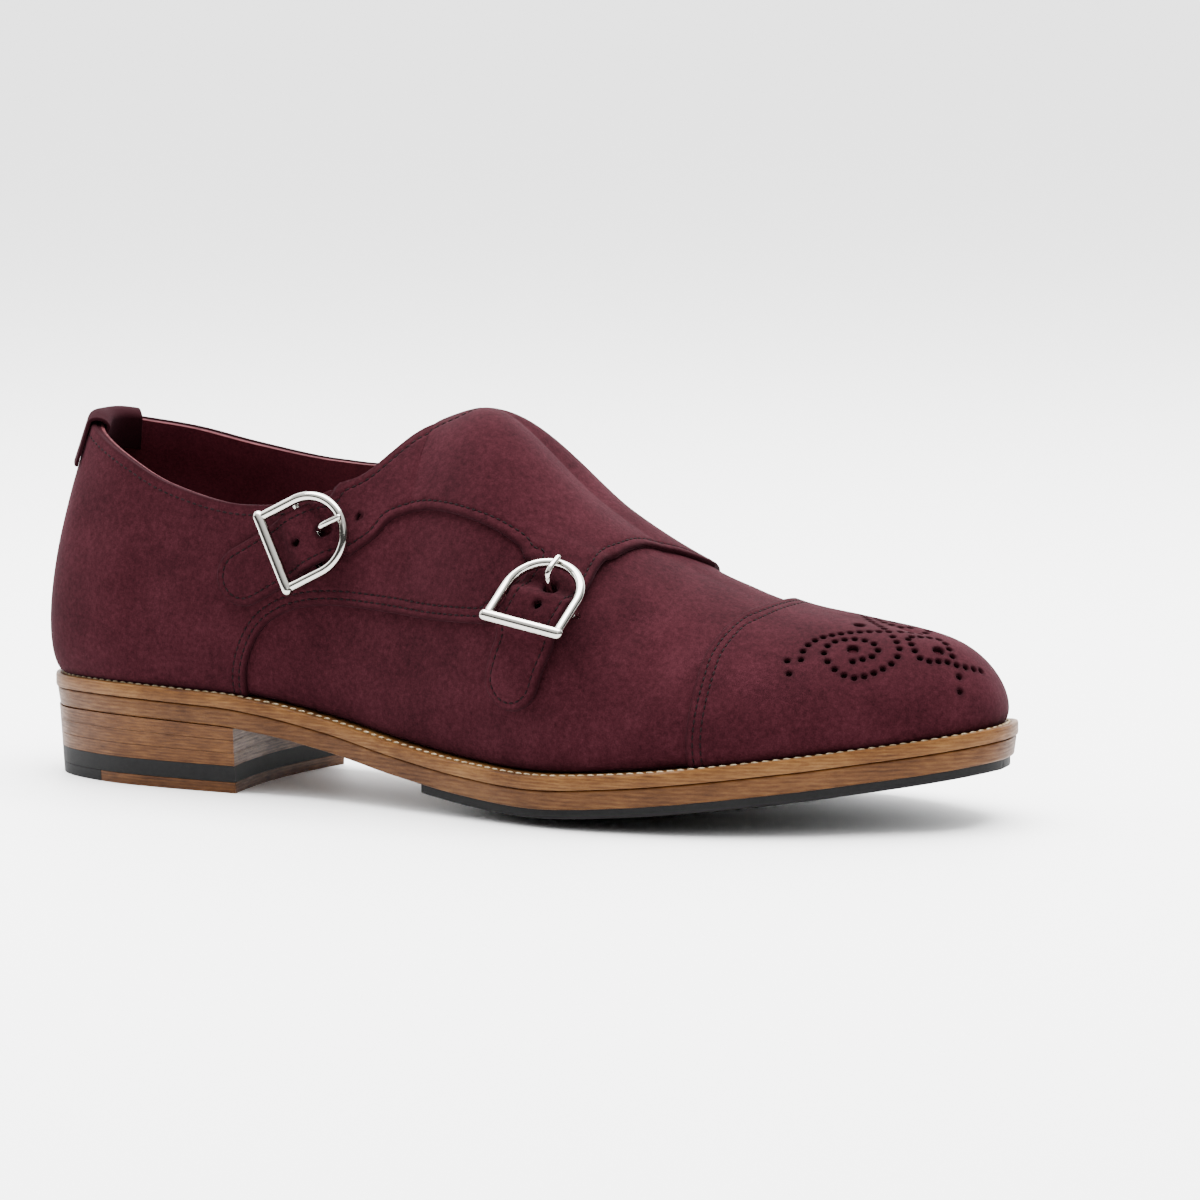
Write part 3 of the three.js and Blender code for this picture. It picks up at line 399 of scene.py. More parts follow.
# Splits a triangle sheet along a level of one of its fields. Each row of sheet["data"] is a corner.
def splitAt(data, tris, field, level, snap=0.05):
    values = data[:, field] - level
    values[np.abs(values) < snap] = 0
    data[:, field] = values + level
    sign = np.sign(values)
    edges = np.concatenate([tris[:, [0, 1]], tris[:, [1, 2]], tris[:, [2, 0]]])
    cut = sign[edges[:, 0]] * sign[edges[:, 1]] < 0
    low, high = edges.min(1), edges.max(1)
    keys = low.astype(np.int64) * len(data) + high
    unique, first, back = np.unique(keys[cut], return_index=True, return_inverse=True)
    if not len(unique):
        return data, tris
    a, b = low[cut][first], high[cut][first]
    share = (values[a] / (values[a] - values[b]))[:, None]
    fresh = data[a] * (1 - share) + data[b] * share
    fresh[:, field] = level
    made = np.full(len(edges), -1)
    made[cut] = len(data) + back
    mids = made.reshape(3, -1).T
    result = [tris[(mids < 0).all(1)]]
    cuts = (mids >= 0).sum(1)
    for turn in range(3):
        corner = [tris[:, (turn + step) % 3] for step in range(3)]
        m01, m20 = mids[:, turn], mids[:, (turn + 2) % 3]
        two = (cuts == 2) & (m01 >= 0) & (m20 >= 0)
        result += [np.stack([corner[0], m01, m20], 1)[two], np.stack([m01, corner[1], corner[2]], 1)[two],
                   np.stack([m01, corner[2], m20], 1)[two]]
        one = (cuts == 1) & (m01 >= 0)
        result += [np.stack([corner[0], m01, corner[2]], 1)[one], np.stack([m01, corner[1], corner[2]], 1)[one]]
    return np.concatenate([data, fresh]), np.concatenate(result)


def compact(data, tris):
    used, back = np.unique(tris, return_inverse=True)
    return data[used], back.reshape(-1, 3)


def borderEdges(tris):
    edges = np.concatenate([tris[:, [0, 1]], tris[:, [1, 2]], tris[:, [2, 0]]])
    keys = edges.min(1).astype(np.int64) * (tris.max() + 1) + edges.max(1)
    _, first, counts = np.unique(keys, return_index=True, return_counts=True)
    return edges[first[counts == 1]]


thread = {"groove": 0.42, "depth": 0.28, "pitch": 2.1, "length": 1.6, "wide": 0.55}


# A leather sheet laid on the last. inside is the distance in from its cut edge, lift and wall are its
# height over the last and its thickness. The edge is rounded over edgeRound.
def laySheet(form, inside, lift, wall, outline=None, edgeRound=0.7, rows=()):
    outline = inside if outline is None else outline
    lift, wall = (np.broadcast_to(value, len(inside)) for value in (lift, wall))
    data = np.column_stack([form["points"], form["normals"], inside, lift, wall, outline])
    near = inside[form["tris"]].max(1) > 0
    data, tris = compact(data, form["tris"][near])
    data, tris = splitAt(data, tris, 6, 0)
    tris = tris[data[tris][:, :, 6].min(1) >= 0]
    tris = tris[data[tris][:, :, 6].max(1) > 0]
    data, tris = compact(data, tris)
    for level in (0.3 * edgeRound, edgeRound):
        data, tris = splitAt(data, tris, 6, level)
    for row in rows:
        for level in (row - thread["groove"], row, row + thread["groove"]):
            data, tris = splitAt(data, tris, 9, level, snap=0.02)
    return compact(data, tris)


def closeSheet(name, sheet, materials, edgeRound=0.7, rows=(), rowsKept=None, smoothAngle=40):
    data, tris = sheet
    points, normals = data[:, :3], unit(data[:, 3:6])
    inside, lift, wall = data[:, 6], data[:, 7], data[:, 8]
    share = np.clip(inside / edgeRound, 0, 1)
    shape = 0.45 + 0.55 * np.sqrt(1 - (1 - share) ** 2)
    height = wall * shape
    kept = 1.0 if rowsKept is None else rowsKept(points)
    for row in rows:
        height -= kept * thread["depth"] * np.clip(1 - np.abs(data[:, 9] - row) / thread["groove"], 0, 1)
    upper = points + normals * (lift + height)[:, None]
    lower = points + normals * lift[:, None]
    count = len(points)
    border = borderEdges(tris)
    sides = np.column_stack([border[:, 1], border[:, 0], border[:, 0] + count, border[:, 1] + count])
    faces = tris.tolist() + (tris[:, ::-1] + count).tolist() + sides.tolist()
    faceMaterial = None
    if len(materials) > 1:
        faceMaterial = [0] * len(tris) + [1] * len(tris) + [len(materials) - 1] * len(sides)
    attributes = {"seamDistance": np.concatenate([inside, inside])}
    points = np.concatenate([upper, lower])
    return makeObject(name, points, faces, materials, faceMaterial, attributes, smoothAngle)


# Ordered runs of points where a field of a laid sheet passes a level
def traceLevel(data, tris, field, level):
    data, tris = splitAt(data.copy(), tris, field, level, snap=0.02)
    onLevel = np.abs(data[:, field] - level) < 1e-6
    keep = tris[data[tris][:, :, field].min(1) >= level - 1e-6]
    edges = borderEdges(keep)
    edges = edges[onLevel[edges].all(1)]
    follow = {}
    for a, b in edges.tolist():
        follow.setdefault(a, []).append(b)
        follow.setdefault(b, []).append(a)
    runs = []
    visited = set()
    starts = [spot for spot, others in follow.items() if len(others) == 1] + list(follow)
    for start in starts:
        if start in visited:
            continue
        run = [start]
        visited.add(start)
        while True:
            onward = [spot for spot in follow[run[-1]] if spot not in visited]
            if not onward:
                break
            run.append(onward[0])
            visited.add(onward[0])
        if len(run) > 4:
            runs.append(run)
    return data, runs


def rayTree(points, tris):
    return BVHTree.FromPolygons([Vector(point) for point in points.tolist()], tris.tolist())


# Fields in side view and in plan

def curveThrough(spots, count, scale=None):
    spots = np.asarray(spots, float) * (scale if scale is not None else [soleLength, instepHeight])
    place = np.linspace(0, len(spots) - 1, count)
    index = np.clip(np.floor(place).astype(int), 0, len(spots) - 2)
    read = [spots[np.clip(index + step, 0, len(spots) - 1)] for step in (-1, 0, 1, 2)]
    return blendFour(*read, (place - index)[:, None])


# How far spots lie inside a closed shape, negative outside. An open run counts as no edge.
def insideShape(spots, shape, openRuns=()):
    shape = np.asarray(shape, float)
    count = len(shape)
    best = np.full(len(spots), 1e9)
    crossing = np.zeros(len(spots), dtype=bool)
    for index in range(count):
        start, end = shape[index], shape[(index + 1) % count]
        if index not in openRuns:
            best = np.minimum(best, distanceToSegment(spots, start, end)[0])
        if start[1] == end[1]:
            continue
        between = (start[1] > spots[:, 1]) != (end[1] > spots[:, 1])
        meets = start[0] + (spots[:, 1] - start[1]) * (end[0] - start[0]) / (end[1] - start[1])
        crossing ^= between & (spots[:, 0] < meets)
    return np.where(crossing, best, -best)


# A region with one real edge. Its other sides, which run through the corners, are open.
def insideRegion(spots, edge, *corners):
    shape = np.vstack([edge, *corners])
    return insideShape(spots, shape, range(len(edge) - 1, len(shape)))


seams = {
    "throat": [[0.300, 0.847], [0.335, 0.836], [0.357, 0.848], [0.379, 0.871], [0.398, 0.913], [0.417, 0.959],
               [0.434, 0.992], [0.455, 1.020], [0.478, 1.065]],
    "quarter": [[0.266, 0.050], [0.267, 0.270], [0.271, 0.360], [0.284, 0.440], [0.303, 0.485], [0.328, 0.510],
                [0.360, 0.520], [0.420, 0.515], [0.480, 0.506], [0.545, 0.508]],
    "quarterHidden": [[0.560, 0.550], [0.583, 0.630], [0.583, 0.690], [0.555, 0.755], [0.500, 0.822],
                      [0.435, 0.848], [0.385, 0.840], [0.350, 1.100]],
    "scallop": [[0.571, 0.665], [0.567, 0.688], [0.556, 0.712], [0.530, 0.748], [0.498, 0.770], [0.465, 0.776],
                [0.438, 0.764], [0.413, 0.738], [0.395, 0.705], [0.378, 0.652]],
    "cap": [[0.790, 0.620], [0.773, 0.553], [0.763, 0.530], [0.758, 0.490], [0.756, 0.440], [0.758, 0.370],
            [0.759, 0.200], [0.759, 0.000]],
    "innerFront": [[0.720, 0.730], [0.690, 0.640], [0.664, 0.560], [0.632, 0.470], [0.598, 0.360],
                   [0.570, 0.240], [0.556, 0.060]],
    "saddleFront": [[0.624, -0.420], [0.630, -0.300], [0.636, -0.220], [0.641, -0.110], [0.646, -0.020],
                    [0.660, 0.050], [0.676, 0.110], [0.686, 0.190], [0.700, 0.270], [0.730, 0.340]],
    "tongue": [[0.610, 0.730], [0.540, 0.740], [0.450, 0.800], [0.380, 0.800], [0.330, 0.840]],
    "throatSlant": 0.1,   # how far the throat line leans over, per millimetre across
    "throatLap": 4.0,     # the pieces under the saddle reach this far past its edge
    "backSeamEnd": 75.5,  # up to here from the heel the saddle keeps to the inner side
}
aboveAll = 1.6         # a rise above everything, for the open corners of a region
beyondReach = 1000.0  # stands for no edge in reach


def corner(at, rise):
    return np.array([at * soleLength, rise * instepHeight])


def sideView(points):
    return points[:, [0, 2]]


def belowThroat(points, lap=0.0):
    spots = np.column_stack([points[:, 0], points[:, 2] - seams["throatSlant"] * points[:, 1]])
    edge = curveThrough(seams["throat"], 60) + [lap, 0]
    return -insideRegion(spots, edge, corner(0.478, aboveAll), corner(0.3, aboveAll))


def insideQuarter(points):
    edge = curveThrough(seams["quarter"], 70)
    hidden = curveThrough(seams["quarterHidden"], 40)
    inShape = insideRegion(sideView(points), np.vstack([edge, hidden]), corner(-0.2, aboveAll), corner(-0.2, 0))
    return np.minimum(inShape, -points[:, 1] - fitGap / 2)


def insideCap(points):
    return insideRegion(sideView(points), curveThrough(seams["cap"], 60), corner(1.2, 0), corner(1.2, 0.62))


# The cap and the quarter: underside just off the last, and two rows of stitches in from their edges
overlay = {"lift": 0.08, "rows": (1.9, 4.0)}
overlayTop = fitGap + overlayWall - overlay["lift"]

# Straps and buckles
buckle = {
    "strapWidth": 17.2, "strapSlack": 2.3, "buckleClear": 0.7, "barLength": 24.2, "barRadius": 1.65,
    "wireRadius": 1.35, "bowRadius": 11.1, "legLength": 11.5, "centreBarRadius": 1.0, "prongRadius": 0.85,
    "prongRun": 1.8, "prongClimb": 2.6, "holeRadius": 1.15, "prongHoleRadius": 1.9,
    "prongClear": 2.15,             # from the middle of the centre bar to the prong's bend
    "strapReach": 60,               # no strap is further than this from its own middle
    "rise": (2.2, 4), "fall": (2, 6),  # where the strap climbs over the centre bar and comes down again
    "tailEase": (3, 14),            # the strap's tail comes down to its last height
    "rootEase": (7.6, 10.6),        # run over which the saddle becomes a strap
    "rootBlend": 3.0,               # rounding of the corner between saddle and strap
}
quarterLift = 2 * fitGap + overlayWall
straps = {
    "rear": {
        "line": [[0.384, 0.752], [0.363, 0.725], [0.340, 0.700], [0.319, 0.670], [0.2975, 0.634],
                 [0.269, 0.588], [0.242, 0.550]],
        "bar": (0.305, 0.646), "apex": (0.376, 0.741), "tailLift": quarterLift, "spareHoles": (7.0, 26.5),
    },
    "front": {
        "line": [[0.606, 0.730], [0.607, 0.690], [0.607, 0.650], [0.606, 0.610], [0.597, 0.514], [0.587, 0.415],
                 [0.578, 0.300]],
        "bar": (0.600, 0.460), "apex": (0.612, 0.725), "tailLift": fitGap + 0.1, "spareHoles": (8.5,),
    },
}
ridgeY = float(ridgeSwing(soleLength * 0.45))
quarterRowTop = 0.62 * instepHeight


class Foot:
    # Seats on the outer side of the last, found by a ray across the shoe
    def __init__(self, form):
        outer = form["points"][form["tris"]][:, :, 1].mean(1) < ridgeY + 3
        self.form = form
        self.tris = form["tris"][outer]
        self.tree = rayTree(form["points"], self.tris)

    def normalAt(self, spot, face):
        corners = self.tris[face]
        a, b, c = self.form["points"][corners]
        area = np.cross(b - a, c - a)
        square = area @ area
        shareB = np.cross(spot - a, c - a) @ area / square
        shareC = np.cross(b - a, spot - a) @ area / square
        shares = np.array([1 - shareB - shareC, shareB, shareC])
        return unit(shares @ self.form["normals"][corners])

    def seat(self, at, rise, lift=0.0):
        outside = Vector((at * soleLength, -200, rise * instepHeight))
        hit, _, face, _ = self.tree.ray_cast(outside, Vector((0, 1, 0)))
        if hit is None:
            return None, None
        spot = np.array(hit)
        normal = self.normalAt(spot, face)
        return spot + normal * lift, normal

    def under(self, spot):
        hit, _, face, _ = self.tree.find_nearest(Vector(spot))
        normal = self.normalAt(np.array(hit), face)
        return np.array(hit), normal, float((spot - np.array(hit)) @ normal)


def buckleFrame(foot, strap):
    rest = quarterLift + last["strapWall"] + buckle["buckleClear"] + buckle["wireRadius"]
    bar, barNormal = foot.seat(*strap["bar"], rest)
    apex, _ = foot.seat(*strap["apex"], rest)
    along = unit(apex - bar)
    roughly = -np.cross(along, barNormal)
    sides = []
    for aside in (-buckle["strapWidth"] / 2, buckle["strapWidth"] / 2):
        over = bar + roughly * aside
        sides.append(foot.seat(over[0] / soleLength, over[2] / instepHeight, rest)[0])
    out = unit(np.cross(along, sides[1] - sides[0]))
    across = np.cross(out, along)

    def at(origin, alongBy, acrossBy, outBy):
        return origin + along * alongBy + across * acrossBy + out * outBy

    rim = [at(bar, 0, -buckle["strapWidth"] / 2, 0), at(bar, 0, buckle["strapWidth"] / 2, 0)]
    rim += [at(bar, buckle["legLength"] + buckle["bowRadius"] * math.sin(angle),
               -buckle["bowRadius"] * math.cos(angle), 0) for angle in np.linspace(0, math.pi, 9)]

    def level(spot, lift):
        _, normal, height = foot.under(spot)
        return (lift - height) / max(float(normal @ out), 0.3)

    origin = bar + out * max(level(spot, rest) for spot in rim)
    middle = buckle["legLength"] - buckle["centreBarRadius"]
    levels = [level(at(origin, middle, aside, 0), quarterLift + buckle["centreBarRadius"])
              for aside in (-buckle["strapWidth"] / 2, 0, buckle["strapWidth"] / 2)]
    barLevel = max(levels)
    return {"at": lambda *by: at(origin, *by), "along": along, "across": across, "out": out, "middle": middle,
            "barLevel": barLevel, "barRise": barLevel - min(levels), "origin": origin}


# Distance in from a strap's edge, run along it, and reach from the buckle's bar, for each point of the last
def strapFields(strap, place):
    line = curveThrough(strap["line"], 90, scale=[1, 1])
    middles = np.array([foot.seat(at, rise)[0] for at, rise in line])
    points = form["points"]
    best = np.full(len(points), 1e9)
    run = np.zeros(len(points))
    length = 0.0
    near = np.flatnonzero(np.linalg.norm(points - middles.mean(0), axis=1) < buckle["strapReach"])
    for start, end in zip(middles[:-1], middles[1:]):
        away, share = distanceToSegment(points[near], start, end)
        step = np.linalg.norm(end - start)
        closer = away < best[near]
        best[near[closer]] = away[closer]
        run[near[closer]] = length + share[closer] * step
        length += step
    tipStart = length - buckle["strapWidth"] / 2
    tipSpot = middles[np.searchsorted(lengthAlong(middles), tipStart)]
    beyondTip = np.linalg.norm(points - tipSpot, axis=1)
    inside = buckle["strapWidth"] / 2 - np.where(run > tipStart, beyondTip, best)
    return inside, run, (points - place["origin"]) @ place["along"]


def saddleLift(points):
    acrossShare = (points[:, 1] - ridgeY) / ballWidth
    outerSide = 1 - ramp(acrossShare, -0.13, 0.03)
    rear = 1 - ramp(points[:, 0] / soleLength, 0.618, 0.652)
    return fitGap + (overlayWall + fitGap) * outerSide * rear


def insideSaddleBody(points):
    low = np.vstack([corner(0.75, 0.665), curveThrough(seams["scallop"], 70), corner(0.348, 0.83)])
    outerInside = insideRegion(sideView(points), low, corner(0.348, aboveAll), corner(0.75, aboveAll))
    innerInside = insideRegion(sideView(points), curveThrough(seams["innerFront"], 50),
                               corner(-0.2, 0), corner(-0.2, aboveAll), corner(0.72, aboveAll))
    wide = 2 * ballWidth
    front = curveThrough(seams["saddleFront"], 60, scale=[soleLength, ballWidth])
    planInside = insideRegion(points[:, :2], front, (0.73 * soleLength, wide), (-ballWidth, wide),
                              (-ballWidth, -wide), (0.624 * soleLength, -wide))
    body = np.where(points[:, 1] < ridgeY, outerInside, innerInside)
    behind = np.where(points[:, 0] < seams["backSeamEnd"], points[:, 1] - fitGap / 2, beyondReach)
    return np.minimum(np.minimum(body, planInside), behind)


def softMax(a, b, width):
    share = np.clip(0.5 + 0.5 * (a - b) / width, 0, 1)
    return b * (1 - share) + a * share + width * share * (1 - share)


# Node helpers for the materials

def newMaterial(name, **values):
    material = bpy.data.materials.new(name)
    material.use_nodes = True
    shader = material.node_tree.nodes["Principled BSDF"]
    for label, value in values.items():
        shader.inputs[label.replace("_", " ")].default_value = value
    return material, material.node_tree, shader


def addNode(tree, kind, inputs=None, **settings):
    node = tree.nodes.new(kind)
    for label, value in settings.items():
        setattr(node, label, value)
    for label, value in (inputs or {}).items():
        socket = node.inputs[label]
        if isinstance(value, bpy.types.NodeSocket):
            tree.links.new(value, socket)
        else:
            socket.default_value = value
    return node


def mathNode(tree, operation, first, second=0.0):
    return addNode(tree, "ShaderNodeMath", {0: first, 1: second}, operation=operation).outputs[0]


def weightedSum(tree, *terms):
    parts = [mathNode(tree, "MULTIPLY", value, weight) for value, weight in terms]
    total = parts[0]
    for part in parts[1:]:
        total = mathNode(tree, "ADD", total, part)
    return total


def rampNode(tree, value, stops):
    node = addNode(tree, "ShaderNodeValToRGB", {0: value})
    elements = node.color_ramp.elements
    while len(elements) < len(stops):
        elements.new(0.5)
    for element, (place, colour) in zip(elements, stops):
        element.position = place
        element.color = (*colour, 1)
    return node.outputs["Color"]


def rangeNode(tree, value, fromLow, fromHigh, low=0.0, high=1.0):
    return addNode(tree, "ShaderNodeMapRange", {"Value": value, "From Min": fromLow, "From Max": fromHigh,
                                                "To Min": low, "To Max": high}).outputs["Result"]


def noiseNode(tree, vector, scale, detail=4, roughness=0.6):
    return addNode(tree, "ShaderNodeTexNoise", {"Vector": vector, "Scale": scale, "Detail": detail,
                                                "Roughness": roughness}).outputs["Fac"]


def newShaderGroup(name, inputs, outputs):
    group = bpy.data.node_groups.new(name, "ShaderNodeTree")
    for label, kind, value in inputs:
        socket = group.interface.new_socket(label, in_out="INPUT", socket_type=kind)
        if value is not None:
            socket.default_value = value
    for label, kind in outputs:
        group.interface.new_socket(label, in_out="OUTPUT", socket_type=kind)
    start = group.nodes.new("NodeGroupInput")
    end = group.nodes.new("NodeGroupOutput")
    return group, start, end


def useGroup(tree, group, **values):
    node = tree.nodes.new("ShaderNodeGroup")
    node.node_tree = group
    for label, value in values.items():
        socket = node.inputs[label]
        if isinstance(value, bpy.types.NodeSocket):
            tree.links.new(value, socket)
        else:
            socket.default_value = value
    return node


# Short nap, from the way that the fibres lie to their ends: a noise and its share of tone and height
napLayers = [
    {"scale": 26, "detail": 2, "roughness": 0.5, "tone": 0.19, "height": 0},
    {"scale": 95, "detail": 3, "roughness": 0.55, "tone": 0.17, "height": 0},
    {"scale": 700, "detail": 3, "roughness": 0.7, "tone": 0.36, "height": 0.5},
    {"scale": 2600, "detail": 2, "roughness": 0.8, "tone": 0.28, "height": 0.5},
]


def makeNapGroup():
    group, start, end = newShaderGroup("nap", [("Size", "NodeSocketFloat", 1.0)],
                                       [("Tone", "NodeSocketFloat"), ("Height", "NodeSocketFloat")])
    place = addNode(group, "ShaderNodeTexCoord").outputs["Object"]
    sized = addNode(group, "ShaderNodeVectorMath", {0: place, "Scale": start.outputs["Size"]},
                    operation="SCALE").outputs[0]
    noises = [noiseNode(group, sized, layer["scale"], layer["detail"], layer["roughness"])
              for layer in napLayers]
    for label in ("tone", "height"):
        terms = [(noise, layer[label]) for noise, layer in zip(noises, napLayers) if layer[label]]
        group.links.new(weightedSum(group, *terms), end.inputs[label.capitalize()])
    return group


# Cut leather edge: long fibres along the sole, pressed in thin layers
def makeFibreGroup():
    group, start, end = newShaderGroup("cutLeather", [("Layers", "NodeSocketFloat", 1.0)],
                                       [("Tone", "NodeSocketFloat"), ("Height", "NodeSocketFloat")])
    place = addNode(group, "ShaderNodeTexCoord").outputs["Object"]
    long = addNode(group, "ShaderNodeMapping", {"Vector": place, "Scale": (0.22, 0.22, 1.6)}).outputs[0]
    streaks = noiseNode(group, long, 900, detail=4, roughness=0.65)
    blotches = noiseNode(group, place, 60, detail=3, roughness=0.5)
    pores = noiseNode(group, place, 2200, detail=2, roughness=0.7)
    tall = addNode(group, "ShaderNodeSeparateXYZ", {0: place}).outputs["Z"]
    close = mathNode(group, "MULTIPLY", start.outputs["Layers"], 5200)
    layers = mathNode(group, "SINE", mathNode(group, "MULTIPLY", tall, close))
    tone = weightedSum(group, (streaks, 0.5), (blotches, 0.4), (pores, 0.1), (layers, 0.035))
    group.links.new(tone, end.inputs["Tone"])
    group.links.new(weightedSum(group, (streaks, 1.0), (pores, 0.5)), end.inputs["Height"])
    return group


def bumpInto(tree, shader, height, strength, distance):
    bump = addNode(tree, "ShaderNodeBump", {"Height": height, "Strength": strength, "Distance": distance})
    tree.links.new(bump.outputs[0], shader.inputs["Normal"])


napGroup = makeNapGroup()
fibreGroup = makeFibreGroup()

# Suede tones. The last two entries set how far in from a cut edge the painted edge shade reaches and how strong
# it is
suede = {
    "dark": (0.0095, 0.0016, 0.0027), "middle": (0.0215, 0.0041, 0.0063), "light": (0.0380, 0.0086, 0.0125),
    "paintedShadeReach": 1.1, "paintedShadeStrength": 0.9,
}


def makeSuede():
    material, tree, shader = newMaterial("burgundySuede", Roughness=0.95, Specular_IOR_Level=0.03,
                                         Sheen_Weight=0.035, Sheen_Roughness=0.5,
                                         Sheen_Tint=(0.60, 0.26, 0.34, 1))
    nap = useGroup(tree, napGroup, Size=1.0)
    base = rampNode(tree, nap.outputs["Tone"],
                    [(0.37, suede["dark"]), (0.50, suede["middle"]), (0.66, suede["light"])])
    # Painted shade: near every cut edge and seam the base colour is mixed towards the dark tone
    seam = addNode(tree, "ShaderNodeAttribute", attribute_name="seamDistance").outputs["Fac"]
    paintedShadeMix = rangeNode(tree, seam, 0.0, suede["paintedShadeReach"], suede["paintedShadeStrength"], 0.0)
    edge = addNode(tree, "ShaderNodeMix", {"Factor": paintedShadeMix}, data_type="RGBA")
    tree.links.new(base, edge.inputs["A"])
    edge.inputs["B"].default_value = (*suede["dark"], 1)
    tree.links.new(edge.outputs["Result"], shader.inputs["Base Color"])
    bumpInto(tree, shader, nap.outputs["Height"], 0.35, 0.0003)
    return material


# A material whose colour and bump follow one shader group
def makePatterned(name, roughness, specular, group, groupValues, stops, bump):
    material, tree, shader = newMaterial(name, Roughness=roughness, Specular_IOR_Level=specular)
    pattern = useGroup(tree, group, **groupValues)
    tree.links.new(rampNode(tree, pattern.outputs["Tone"], stops), shader.inputs["Base Color"])
    bumpInto(tree, shader, pattern.outputs["Height"], bump, 0.0002)
    return material


def makeSoleLeather(name, dark, middle, light, layers=1.0, roughness=0.5):
    material, tree, shader = newMaterial(name, Roughness=roughness, Specular_IOR_Level=0.12, Coat_Weight=0.02,
                                         Coat_Roughness=0.35)
    fibre = useGroup(tree, fibreGroup, Layers=layers)
    base = rampNode(tree, fibre.outputs["Tone"], [(0.33, dark), (0.50, middle), (0.68, light)])
    tree.links.new(base, shader.inputs["Base Color"])
    tree.links.new(rangeNode(tree, fibre.outputs["Tone"], 0.35, 0.65, roughness + 0.12, roughness - 0.08),
                   shader.inputs["Roughness"])
    bumpInto(tree, shader, fibre.outputs["Height"], 0.35, 0.0003)
    return material


def makeSilver():
    material, tree, shader = newMaterial("polishedSilver", Metallic=1.0, Roughness=0.13,
                                         Base_Color=(0.46, 0.445, 0.41, 1))
    place = addNode(tree, "ShaderNodeTexCoord").outputs["Object"]
    smears = noiseNode(tree, place, 260, detail=3)
    tree.links.new(rangeNode(tree, smears, 0.35, 0.65, 0.06, 0.14), shader.inputs["Roughness"])
    return material


def makeThread(name, dark, light):
    material, tree, shader = newMaterial(name, Roughness=0.85, Specular_IOR_Level=0.1)
    place = addNode(tree, "ShaderNodeTexCoord").outputs["Object"]
    twist = noiseNode(tree, place, 1500, detail=2)
    tree.links.new(rampNode(tree, twist, [(0.4, dark), (0.6, light)]), shader.inputs["Base Color"])
    return material


materials = {
    "suede": makeSuede(),
    "lining": makePatterned("liningLeather", 0.62, 0.08, napGroup, {"Size": 1.6},
                            [(0.38, (0.034, 0.0042, 0.0078)), (0.66, (0.084, 0.0130, 0.0200))], 0.2),
    "rawEdge": makePatterned("rawLeatherEdge", 0.85, 0.05, fibreGroup, {"Layers": 1.0},
                             [(0.38, (0.036, 0.0085, 0.0110)), (0.62, (0.086, 0.0250, 0.0290))], 0.3),
    "rubber": makePatterned("blackRubber", 0.7, 0.15, napGroup, {"Size": 1.2},
                            [(0.38, (0.003, 0.003, 0.0033)), (0.66, (0.0085, 0.0082, 0.0085))], 0.25),
    "welt": makeSoleLeather("weltLeather", (0.036, 0.0120, 0.0026), (0.084, 0.033, 0.0078),
                            (0.140, 0.066, 0.019), 1.3),
    "sole": makeSoleLeather("soleEdgeLeather", (0.024, 0.0074, 0.0016), (0.060, 0.0220, 0.0050),
                            (0.104, 0.0440, 0.0115)),
    "heel": makeSoleLeather("heelLeather", (0.022, 0.0066, 0.0017), (0.060, 0.0215, 0.0054),
                            (0.112, 0.0465, 0.0130), 1.4),
    "silver": makeSilver(),
    "darkThread": makeThread("darkThread", (0.0022, 0.0006, 0.0009), (0.0075, 0.0018, 0.0028)),
    "creamThread": makeThread("creamThread", (0.24, 0.18, 0.105), (0.42, 0.35, 0.24)),
}
print("materials made")

# Upper: one wall, lined inside, with a raw edge round the collar
form = makeForm(230, 72)
coarse = makeForm(170, 52)
foot = Foot(form)
buckles = {name: buckleFrame(foot, strap) for name, strap in straps.items()}
print("form made", len(form["tris"]))


def makeUpper():
    inside = np.minimum(belowThroat(coarse["points"], seams["throatLap"]), coarse["fromTop"] + 0.01)
    sheet = laySheet(coarse, inside, -upperWall, upperWall, edgeRound=0.5)
    return closeSheet("upperWall", sheet, [materials["suede"], materials["lining"], materials["rawEdge"]],
                      edgeRound=0.5)


def makeQuarter():
    points = form["points"]
    inside = np.minimum.reduce([insideQuarter(points), belowThroat(points, seams["throatLap"]),
                                form["fromTop"] + 0.01])
    sheet = laySheet(form, inside, overlay["lift"], overlayTop, rows=overlay["rows"])
    piece = closeSheet("outerQuarterSuede", sheet, [materials["suede"]], rows=overlay["rows"],
                       rowsKept=lambda points: points[:, 2] < quarterRowTop)
    return piece, sheet


# The medallion: plan positions on the toe cap, outer half. Its axis mirrors every curve and pair.
medallion = {
    "axis": -0.7, "small": 0.80, "big": 1.55, "pitch": 2.75,
    "ahead": 0.74,      # the part of the last that is worked out finely for the holes
    "edgeRound": 0.45,  # of the holes and of the cap's own edge
    "onAxis": [(256.2, -0.7), (279.7, -0.7)],
    "pairs": [(260.6, -13.9)],
    "tailPairs": [(246.4, -25.2), (248.3, -28.0)],
    "curves": [
        [(249.6, -23.4), (249.0, -19.4), (251.2, -13.6), (257.2, -6.9), (265.0, -0.7)],
        [(267.4, -3.1), (271.5, -7.6), (271.0, -13.2), (264.8, -20.4), (258.6, -21.6), (254.2, -18.6),
         (255.0, -13.6), (260.0, -9.5), (265.8, -9.5), (266.2, -13.2), (262.2, -17.4)],
        [(271.4, -1.7), (277.4, -6.6), (283.0, -2.2)],
        [(284.9, -0.7), (287.2, -3.8), (288.6, -7.4)],
    ],
}


def evenlyAlong(spots, pitch):
    line = curveThrough(spots, 400, scale=[1, 1])
    length = lengthAlong(line)
    goals = np.linspace(0, length[-1], max(int(round(length[-1] / pitch)), 1) + 1)
    return alongLine(line, length, goals)


